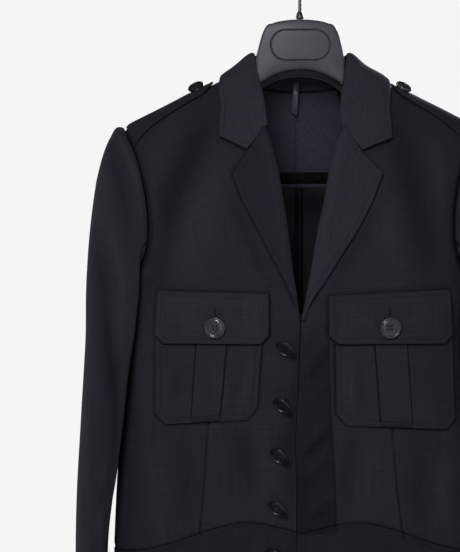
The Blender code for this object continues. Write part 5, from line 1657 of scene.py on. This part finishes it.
FRONT_PIECES = [name for name in surfaces if name.startswith(
    ("cloth_front", "cloth_lapel", "cloth_pocket", "cloth_flap", "cloth_skirt_front"))]
front_tree = cloth_tree(FRONT_PIECES)
collar_tree = cloth_tree(FRONT_PIECES + ["cloth_collar_fall"])
for side in (-1, 1):
    lapel = lapel_line(side)
    sew_line(front_tree, inset(lapel, TOPSTITCH_IN * -side)[1:])
    sew_line(front_tree, inset(lapel[:2], TOPSTITCH_IN * -side))
    collar = inset(COLLAR_END[side][1:], TOPSTITCH_IN * side)
    sew_line(collar_tree, [collar[0], collar[1] - (side * TOPSTITCH_IN, 0)])
    sew_line(front_tree, inset(pocket_outline(side), TOPSTITCH_IN * -side)[:])
    sew_line(front_tree, inset(flap_outline(side), TOPSTITCH_IN * -side))
    edge_z = np.linspace(-620 if side < 0 else -452, HEM_Z + 8, 60)
    sew_line(front_tree, np.column_stack([track(FRONT_EDGE, edge_z)[:, 0] + side * 5.0, edge_z]))
    waist = waist_points(side * 2.0 - 7.0, side * 214, 60)
    sew_line(front_tree, waist - (0, TOPSTITCH_IN + SEAM_GAP))
    hole_x = POCKET[side]["button"]
    for shift in (-0.8, 0.8):
        sew_line(front_tree, [(hole_x + shift, -429), (hole_x + shift, -440)], pitch=0.62,
                 length=1.5, radius=0.24, crosswise=True)
    sew_line(front_tree, [(hole_x - 1.3, -428.8), (hole_x + 1.3, -428.8)], pitch=0.6, length=1.4,
             radius=0.24, crosswise=True)
sew_line(front_tree, BAND_STITCH)
print("stitches in front:", len(stitches))

# %% Stitches on the collar's edge, the shoulders and the back
collar_surface = surfaces["cloth_collar_fall"]
from_edge = distances(collar_surface)["outer"]
collar_line = np.array([[np.interp(TOPSTITCH_IN, reach[::-1], row[::-1, k]) for k in range(3)]
                        for reach, row in zip(from_edge, collar_surface)])
collar_aim = smoothed(grid_normals(collar_surface, flip=True)[:, -6])
spots, runs = spaced(np.hstack([collar_line, collar_aim])[4:-4], STITCH_PITCH)
for spot, run in zip(spots, runs):
    normal = Vector(spot[3:]).normalized()
    stitches.append((Vector(spot[:3]), Vector(run[:3]).normalized(), normal, STITCH_LENGTH,
                     STITCH_RADIUS))
for side in (-1, 1):
    strap_tree = cloth_tree([f"cloth_epaulette_{SIDE[side]}"])
    outline = epaulette_outline(side)
    strap = np.array([(side * px, py) for px, py in outline]
                     + [(side * px, -py) for px, py in outline[::-1]])
    sew_line(strap_tree, inset(strap, EPAULETTE_STITCH_IN * -side), aim=(0, 0, -1))
    for shift in (-0.8, 0.8):
        sew_line(strap_tree, [(side * 131, shift), (side * 142, shift)], aim=(0, 0, -1),
                 pitch=0.62, length=1.5, radius=0.24, crosswise=True)
    back_tree = cloth_tree([f"cloth_skirt_back_{SIDE[side]}"])
    level = np.linspace(2, 212, 50)
    foot_z = track(WAIST_SEAM, [WAIST_HALF_WIDTH])[0, 0] - TOPSTITCH_IN - SEAM_GAP
    sew_line(back_tree, np.column_stack([side * level, np.full(50, foot_z)]), aim=(0, -1, 0))


def make_stitches():
    """All the stitches as one mesh of small strands."""
    seed = bmesh.new()
    bmesh.ops.create_uvsphere(seed, u_segments=5, v_segments=4, radius=1)
    dots = np.array([v.co[:] for v in seed.verts])
    corners = [[v.index for v in face.verts] for face in seed.faces]
    seed.free()
    spots, faces = [], []
    for number, (place, run, normal, length, radius) in enumerate(stitches):
        across = run.cross(normal)
        frame_axes = np.array([across * radius, normal * radius * 0.8, run * length / 2])
        spots.append(dots @ frame_axes + np.array(place + normal * radius * 0.35))
        faces += [[number * len(dots) + k for k in face] for face in corners]
    mesh = bpy.data.meshes.new("topstitching")
    mesh.from_pydata((np.vstack(spots) * MM).tolist(), [], faces)
    solid = bmesh.new()
    solid.from_mesh(mesh)
    bmesh.ops.recalc_face_normals(solid, faces=solid.faces[:])
    solid.to_mesh(mesh)
    solid.free()
    mesh.materials.append(THREAD_STUFF)
    mesh.shade_smooth()
    piece = show("topstitching", mesh)
    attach(piece, "root")


make_stitches()
print("stitches:", len(stitches))

# %% [markdown]
# Hard pieces are lofted through rings. Black horn-look polyester is used for the buttons, satin black
# ABS for the hanger, nylon flock for its bar and blackened steel wire for the hook.

# %% Button, plastic, flock and steel


def surface_material(name, low, high, grain, roughness, bump, **values):
    """A material with a fine mottle in colour, roughness and height; the grain is in mm."""
    made, tree, shader = new_material(name)
    place = add(tree, "TexCoord").outputs["Object"]
    mottle = add(tree, "TexNoise", Vector=place, Scale=1 / (grain * MM), Detail=4.0, Roughness=0.6)
    broad = add(tree, "TexNoise", Vector=place, Scale=1 / (22 * MM), Detail=2.0)
    half = add(tree, "Math", {"operation": "MULTIPLY"}, i0=mottle, i1=0.5)
    mixed = add(tree, "Math", {"operation": "MULTIPLY_ADD"}, i0=broad, i1=0.5, i2=half)
    fill(tree, shader, Base_Color=ramp(tree, mixed, ((0.35, low), (0.65, high))),
         Roughness=add(tree, "MapRange", Value=mixed, From_Min=0.35, From_Max=0.65,
                       To_Min=roughness - 0.05, To_Max=roughness + 0.07),
         Normal=add(tree, "Bump", Strength=bump, Distance=0.12 * MM, Height=mottle), **values)
    return made


# Cast polyester, lathe-turned and tumbled smooth: a dark mottled body under a clear gloss. This copy,
# on the pockets, is lighter than the one below as painted light
LIT_BUTTON = surface_material("cast polyester horn-look button lightened as painted light", "#1c1d22", "#3a3b43", 1.6, 0.20, 0.05,
                          Specular_IOR_Level=0.55, Coat_Weight=0.25, Coat_Roughness=0.12)
# A darker, less glossy copy of the same button, for the front edge and the shoulders: its colour is
# darkened as painted shade
SHADED_BUTTON = surface_material("cast polyester button darkened as painted shade", "#0b0b0d", "#18181c", 1.6, 0.30,
                               0.05, Specular_IOR_Level=0.34)
# Injection-moulded ABS with a spark-eroded satin skin: an even dark grey with a broad soft highlight
PLASTIC = surface_material("moulded satin black ABS", "#34353b", "#404148", 0.45, 0.42, 0.12,
                           Specular_IOR_Level=0.28)
# Nylon fibres shot upright into glue: velvet black that lights up only along its rim
FLOCK = surface_material("nylon flock on the bar", "#050506", "#0e0e10", 0.35, 0.9, 0.9,
                         Sheen_Weight=0.02, Sheen_Roughness=0.5, Specular_IOR_Level=0.05)
# Drawn wire, chemically blackened: a dark metal with a thin worn sheen
STEEL = surface_material("blackened drawn steel wire", "#3a3a3e", "#5a5a60", 0.5, 0.30, 0.1,
                         Metallic=1.0)


def laid_grid(points):
    """A bmesh grid whose rows and columns lie at the given points in mm."""
    rows, columns = points.shape[:2]
    sheet = bmesh.new()
    bmesh.ops.create_grid(sheet, x_segments=columns - 1, y_segments=rows - 1, size=1)
    for vertex in sheet.verts:
        column = int(round((vertex.co.x + 1) / 2 * (columns - 1)))
        row = int(round((1 - vertex.co.y) / 2 * (rows - 1)))
        vertex.co = points[row, column] * MM
    return sheet


def loft(name, node, rings, stuff, sharp=35):
    """A closed solid through rings of points in mm, each ring a closed loop."""
    rings = np.asarray(rings, float)
    solid = laid_grid(np.concatenate([rings, rings[:, :1]], axis=1))
    bmesh.ops.remove_doubles(solid, verts=solid.verts[:], dist=1e-6)
    bmesh.ops.holes_fill(solid, edges=[e for e in solid.edges if e.is_boundary], sides=0)
    bmesh.ops.recalc_face_normals(solid, faces=solid.faces[:])
    return finish_solid(name, node, solid, stuff, sharp)


def finish_solid(name, node, solid, stuff, sharp=35):
    mesh = bpy.data.meshes.new(name)
    solid.to_mesh(mesh)
    solid.free()
    mesh.materials.append(stuff)
    mesh.shade_smooth()
    mesh.set_sharp_from_angle(angle=math.radians(sharp))
    piece = show(name, mesh)
    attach(piece, "root")
    if node:
        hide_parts(node)
    return piece


def rod_rings(path, radii, sides=20):
    """Rings round a path that lies in the plane of the hanger."""
    path = np.asarray(path, float)
    tangent = unit(np.gradient(path, axis=0))
    across = np.column_stack([-tangent[:, 2], np.zeros(len(path)), tangent[:, 0]])
    angle = np.linspace(0, 2 * math.pi, sides, endpoint=False)
    ring = (across[:, None] * np.cos(angle)[None, :, None]
            + np.array([0, 1.0, 0]) * np.sin(angle)[None, :, None])
    return path[:, None] + ring * np.asarray(radii, float)[:, None, None]


# %% [markdown]
# The hanger is moulded in one piece: a block at the neck with a plate on its front, and broad arms
# that carry the shoulders. The plate has a bare stadium-shaped groove. The bar below is flocked, and
# the hook's wire comes out of a small collar on top of the block.

# %% Hanger
ARM_START_X = 55
BAR_Z, BAR_RADIUS, BAR_REACH, BAR_END_Z, BAR_BEND = -277.5, 7.0, 160, -232.8, 16
HOOK_RADIUS, HOOK_ROD_RADIUS = 23.0, 1.9


def make_hanger_body():
    half = np.unique(np.concatenate([np.linspace(0, 191, 96), HANGER[:, 0]]))
    x_at = np.concatenate([-half[::-1], half[1:]])
    spread = np.sin(np.linspace(-math.pi / 2, math.pi / 2, 25))
    rings = []
    for x in x_at:
        top, bottom, half_depth = track(HANGER, [abs(x)])[0]
        end = np.clip((191 - abs(x)) / 2.0, 0, 1)
        half_depth *= 0.55 + 0.45 * math.sqrt(end)
        y = spread * half_depth
        rounding = (1 - np.sqrt(1 - spread**2 * 0.999)) * 8
        upper = top - rounding
        if abs(x) > ARM_START_X:
            cloth, normals = on_shoulder(np.full(len(y), x), y)
            upper = np.minimum(upper, cloth[:, 2] - (CLOTH + SEAT_GAP * 2) / normals[:, 2] - 0.4)
        lower = bottom + rounding * 0.8
        if abs(x) < ARM_START_X:
            plate_foot = track(FACE_PLATE, [min(abs(x), 50)])[0, 1] + 2.0
            hollow = np.clip((8.5 - y) / 2.5, 0, 1) * np.clip((ARM_START_X - abs(x)) / 4, 0, 1)
            lower = lower + hollow * np.maximum(plate_foot - lower, 0)
        ring = [(x, y[0], (upper[0] + lower[0]) / 2)]
        ring += [(x, y[k], upper[k]) for k in range(len(y))]
        ring += [(x, y[-1], (upper[-1] + lower[-1]) / 2)]
        ring += [(x, y[k], lower[k]) for k in range(len(y) - 1, -1, -1)]
        rings.append(ring)
    loft("hanger_moulding", "hanger_body", rings, PLASTIC, 50)
    x = np.linspace(-52, 52, 90)
    foot = track(HANGER, np.abs(x))[:, 1] + 1.5
    edge = rod_rings(np.column_stack([x, 0 * x, foot]), np.full(90, 1.3), 14) + (0, 8.6, 0)
    loft("hanger_rim", "", edge, PLASTIC)


def stadium_distance(x, z):
    """Signed distance from the outline of the oval on the face plate, below 0 inside."""
    half_width, half_height = 34.6, 17.85
    over = np.abs(x) - (half_width - half_height)
    return np.hypot(np.maximum(over, 0), z + 123.5) - half_height


def make_face_plate():
    """The plate is a thin slab whose front bulges a little and whose edges are rounded."""
    face_y, thickness = -HANGER[0, 3] - SEAM_GAP, 9.0
    half_width = FACE_PLATE[-1, 0]
    x = (shares(2 * half_width, 0.38, start=True, end=True) * 2 - 1) * half_width
    ends = track(FACE_PLATE, np.abs(x))
    share = shares(62, 0.38, start=True, end=True)[:, None]
    z = ends[:, 0] * (1 - share) + ends[:, 1] * share
    x = np.broadcast_to(x, z.shape)
    rim = np.vstack([np.column_stack([x[0], z[0]]), np.column_stack([x[:, -1], z[:, -1]]),
                     np.column_stack([x[-1, ::-1], z[-1, ::-1]]),
                     np.column_stack([x[::-1, 0], z[::-1, 0]])])
    from_rim = distance_to(rim[::3], x, z)
    bulge = 3.0 * (1 - (x / 60) ** 2) * (1 - (2 * share - 1) ** 4)
    round_edge = 2.2 - np.sqrt(np.maximum(2.2**2 - np.maximum(2.2 - from_rim, 0) ** 2, 0))
    oval = stadium_distance(x, z)
    groove = 2.2 * np.exp(-(oval / 0.8) ** 4) + 0.3 / (1 + np.exp(oval / 0.4))
    y = face_y - thickness - bulge + round_edge + groove
    plate = laid_grid(np.stack([x, y, z], axis=-1))
    edges = [e for e in plate.edges if e.is_boundary]
    for depth in (face_y - 1.2, face_y):
        grown = bmesh.ops.extrude_edge_only(plate, edges=edges)["geom"]
        for vertex in (g for g in grown if isinstance(g, bmesh.types.BMVert)):
            vertex.co.y = depth * MM
        edges = [g for g in grown if isinstance(g, bmesh.types.BMEdge) and g.is_boundary]
    bmesh.ops.holes_fill(plate, edges=edges, sides=0)
    bmesh.ops.recalc_face_normals(plate, faces=plate.faces[:])
    finish_solid("hanger_plate", "hanger_face", plate, PLASTIC, 50)


def make_bar_and_hook():
    turn = np.linspace(0, math.pi / 2, 12)
    left = [(-BAR_REACH, 0, z) for z in np.linspace(BAR_END_Z, BAR_Z + BAR_BEND, 8)]
    left += [(-BAR_REACH + BAR_BEND * (1 - math.cos(a)), 0, BAR_Z + BAR_BEND * (1 - math.sin(a)))
             for a in turn[1:]]
    middle = [(x, 0, BAR_Z) for x in np.linspace(-130, 130, 40)]
    path = np.array(left + middle + [(-p[0], 0, p[2]) for p in reversed(left)])
    loft("flocked_bar", "trouser_bar", rod_rings(path, np.full(len(path), BAR_RADIUS)), FLOCK)
    centre_z = HOOK_ROD_RADIUS - HOOK_RADIUS
    angle = np.radians(np.linspace(-62, 196, 70))
    curl = np.column_stack([HOOK_RADIUS * np.cos(angle), 0 * angle,
                            centre_z + HOOK_RADIUS * np.sin(angle)])
    foot_z = centre_z - HOOK_RADIUS - 16
    share = np.linspace(0, 1, 24)[:, None]
    pull = (np.array([0, 0, 26.0]), np.array([-math.sin(angle[0]), 0, math.cos(angle[0])]) * 30)
    stem_top, start = np.array([0, 0, foot_z]), curl[0]
    neck = curve(stem_top, pull[0], start, pull[1], share)
    stem = np.array([(0, 0, z) for z in np.linspace(-89.7, foot_z, 8)])
    path = np.vstack([stem, neck[1:], curl[1:]])
    radii = np.full(len(path), HOOK_ROD_RADIUS)
    radii[-4:] = np.array([0.97, 0.86, 0.66, 0.30]) * HOOK_ROD_RADIUS
    path[-4:] = path[-5] + (path[-4:] - path[-5]) * 0.35
    loft("wire_hook", "hook", rod_rings(path, radii), STEEL, 60)
    profile = [(4.3, -89.9), (4.5, -89.2), (4.5, -86.6), (4.1, -85.9), (4.1, -84.6), (3.5, -83.2),
               (2.9, -82.2), (2.1, -81.6)]
    rings = rod_rings([(0, 0, z) for r, z in profile], [r for r, z in profile], 32)
    loft("hook_collar", "", rings, STEEL, 30)


make_hanger_body()
make_face_plate()
make_bar_and_hook()
print("hanger pieces: moulding, plate, bar, hook and its collar")

# %% [markdown]
# A button is spun from its profile: a flat back, a round rim, a turned groove and a flat middle.
# Four holes are cut through it, and two strands of thread run across the holes and down the shank
# to the cloth.

# %% Buttons
HOLE_RADIUS, HOLE_OUT = 0.105, 0.215


def button_template():
    """A button of radius 1 mm about +Z, as a mesh with its four holes cut."""
    profile = [(0, 0), (0.62, 0), (0.82, 0.02), (0.93, 0.06), (0.985, 0.12), (1.0, 0.185),
               (0.985, 0.24), (0.94, 0.285), (0.89, 0.29), (0.85, 0.265), (0.825, 0.205),
               (0.80, 0.145), (0.76, 0.13), (0.715, 0.155), (0.65, 0.176), (0.45, 0.172),
               (0.25, 0.166), (0, 0.164)]
    turned = bmesh.new()
    dots = [turned.verts.new((r, 0, z)) for r, z in profile]
    lines = [turned.edges.new(pair) for pair in zip(dots[:-1], dots[1:])]
    bmesh.ops.spin(turned, geom=dots + lines, cent=(0, 0, 0), axis=(0, 0, 1), steps=56,
                   angle=2 * math.pi, use_merge=True)
    bmesh.ops.remove_doubles(turned, verts=turned.verts[:], dist=1e-5)
    bmesh.ops.recalc_face_normals(turned, faces=turned.faces[:])
    drills = bmesh.new()
    for k in range(4):
        place = Matrix.Rotation(math.pi / 4 + k * math.pi / 2, 4, "Z") @ Matrix.Translation(
            (HOLE_OUT, 0, 0.1))
        bmesh.ops.create_cone(drills, cap_ends=True, segments=16, radius1=HOLE_RADIUS,
                              radius2=HOLE_RADIUS, depth=1.0, matrix=place)
    made = []
    for label, shape in (("button_template", turned), ("button_drills", drills)):
        mesh = bpy.data.meshes.new(label)
        shape.to_mesh(mesh)
        shape.free()
        made.append(show(label, mesh))
    body, drill = made
    holes = body.modifiers.new("holes", "BOOLEAN")
    holes.operation = "DIFFERENCE"
    holes.solver = "EXACT"
    holes.object = drill
    cut = bpy.data.meshes.new_from_object(body.evaluated_get(
        bpy.context.evaluated_depsgraph_get()))
    for item in made:
        bpy.data.objects.remove(item)
    return cut


BUTTON_SHAPE = button_template()


def make_button(name, radius, seat, direction, shank, spin, stuff=LIT_BUTTON):
    """One button with its thread, facing along a direction from its seat in mm."""
    direction = Vector(direction).normalized()
    turn = Vector((0, 0, 1)).rotation_difference(direction).to_matrix().to_4x4()
    place = (Matrix.Translation(Vector(seat) * MM) @ turn @ Matrix.Rotation(spin, 4, "Z"))
    body = bmesh.new()
    body.from_mesh(BUTTON_SHAPE)
    bmesh.ops.transform(body, verts=body.verts[:], matrix=place @ Matrix.Scale(radius * MM, 4))
    finish_solid(f"turned_{name}", name, body, stuff, 40)
    strands = bmesh.new()
    out = HOLE_OUT * radius / math.sqrt(2)
    for across in (-out, out):
        for shift in (-0.28, 0.28):
            length = 2 * out + 1.0
            strand = place @ Matrix.Translation(Vector((0, across + shift, radius * 0.15)) * MM)
            strand = strand @ Matrix.Diagonal((length / 2 * MM, 0.27 * MM, 0.45 * MM, 1))
            bmesh.ops.create_uvsphere(strands, u_segments=10, v_segments=8, radius=1,
                                      matrix=strand @ Matrix.Rotation(math.pi / 2, 4, "Y"))
    wraps = max(int(shank / 0.55), 2)
    for k in range(wraps):
        z = -shank * (k + 0.5) / wraps
        ring = place @ Matrix.Translation(Vector((0, 0, z)) * MM)
        size = 1.6 + 0.18 * math.sin(k * 2.1)
        bmesh.ops.create_uvsphere(strands, u_segments=14, v_segments=6, radius=1,
                                  matrix=ring @ Matrix.Diagonal((size * MM, size * MM, 0.42 * MM, 1)))
    finish_solid(f"thread_{name}", "", strands, THREAD_STUFF, 60)


for side in (-1, 1):
    label = SIDE[side]
    lift = SEAT_GAP + FLAP_LIFT + CLOTH + FLAT_SHANK + 0.2
    point, normal = above_front(np.array([POCKET[side]["button"]]), np.array([POCKET_BUTTON_Z]),
                                lift + 2)
    make_button(f"button_pocket_{label}", POCKET_BUTTON_RADIUS, point[0] + normal[0] * lift,
                normal[0] + np.array([-0.03, 0, -0.10]), FLAT_SHANK + 0.6, 0.3 * side)
    point, normal = on_shoulder(np.array([side * EPAULETTE_BUTTON_X]), np.array([0.0]))
    lift = EPAULETTE_LIFT + DOUBLE_CLOTH + SEAT_GAP + FLAT_SHANK
    make_button(f"button_epaulette_{label}", EPAULETTE_BUTTON_RADIUS, point[0] + normal[0] * lift,
                normal[0] + np.array([0, -0.62, 0]), FLAT_SHANK + 2.0, 0.5, SHADED_BUTTON)
for number, (x, z) in enumerate(FRONT_BUTTONS, 1):
    point, normal = above_front(np.array([float(x)]), np.array([z]), DROOP_HEIGHT)
    tilt = BUTTON_DROOP + Vector((0.05 * math.sin(number * 2.3), 0, 0.06 * math.cos(number * 1.7)))
    seat = point[0] + normal[0] * DROOP_HEIGHT - np.array(tilt) * 1.8
    make_button(f"button_front_{number}", FRONT_BUTTON_RADIUS, seat, tilt, DROOP_SHANK,
                0.4 * number, SHADED_BUTTON)
print("buttons: 9, each with 4 holes and its thread")

# %% [markdown]
# The floor lies far below the picture. The wall behind is only the pale light of the studio, so the
# jacket stands free against it as in the photograph. A soft light stands high and a little left of
# the camera, a weaker one fills from the right, and a broad card in front opens the shadows. Two
# more stand behind, so that the back of the jacket can be read too.

# %% Stage and light
floor_mesh = bpy.data.meshes.new("studio_floor")
ground = bmesh.new()
bmesh.ops.create_grid(ground, x_segments=8, y_segments=8, size=4)
bmesh.ops.translate(ground, verts=ground.verts[:], vec=(0, 0, -2.4))
ground.to_mesh(floor_mesh)
ground.free()
floor = show("studio_floor", floor_mesh)
floor_stuff, floor_tree, floor_shader = new_material("painted studio floor")
floor_place = add(floor_tree, "TexCoord").outputs["Object"]
floor_tone = add(floor_tree, "TexNoise", Vector=floor_place, Scale=3.0, Detail=3.0)
# The floor is lit from below as a light table is, for the camera alone, so it stays pale
floor_glow = add(floor_tree, "MapRange", Value=add(floor_tree, "LightPath"), To_Min=0.0, To_Max=0.62)
fill(floor_tree, floor_shader, Roughness=0.85, Emission_Strength=floor_glow,
     Emission_Color=linear("#f3f3f3"),
     Base_Color=ramp(floor_tree, floor_tone, ((0.3, "#f0f0f0"), (0.7, "#f5f5f5"))))
floor_mesh.materials.append(floor_stuff)

WORLD_LIGHT = 0.13
world = bpy.data.worlds.new("studio")
bpy.context.scene.world = world
world.use_nodes = True
sky = world.node_tree
strength = add(sky, "MapRange", Value=add(sky, "LightPath"), To_Min=WORLD_LIGHT, To_Max=1.0)
fill(sky, sky.nodes["Background"], Color=linear("#f5f5f5"), Strength=strength)


def add_light(name, place, aim, size, power, color):
    """A soft rectangular light at a place in metres, aimed at a point."""
    data = bpy.data.lights.new(name, "AREA")
    data.shape = "RECTANGLE"
    data.size, data.size_y = size
    data.energy = power
    data.color = color
    lamp = show(name, data)
    lamp.location = place
    lamp.rotation_euler = (Vector(aim) - Vector(place)).to_track_quat("-Z", "Y").to_euler()
    lamp.visible_camera = False


MIDDLE = (0, 0, -0.42)
add_light("key_left", (-0.6, -2.45, 0.75), MIDDLE, (0.9, 0.9), 46, (0.99, 0.995, 1.0))
add_light("fill_right", (2.2, -2.0, 0.0), MIDDLE, (1.4, 2.0), 6, (0.97, 0.985, 1.0))
add_light("card_front", (-0.1, -2.7, -0.6), MIDDLE, (1.7, 1.7), 11, (1.0, 1.0, 1.0))
add_light("key_behind", (1.2, 2.3, 0.85), MIDDLE, (1.0, 1.0), 85, (0.99, 0.995, 1.0))
add_light("fill_behind", (-2.2, 1.8, 0.1), MIDDLE, (1.4, 2.0), 24, (0.97, 0.985, 1.0))
bpy.context.scene.view_settings.view_transform = "Standard"

# %% Size of each cut piece
for name, width, length, area in made_sheets:
    print(f"{name}: {width} x {length} m, area {area} m2")
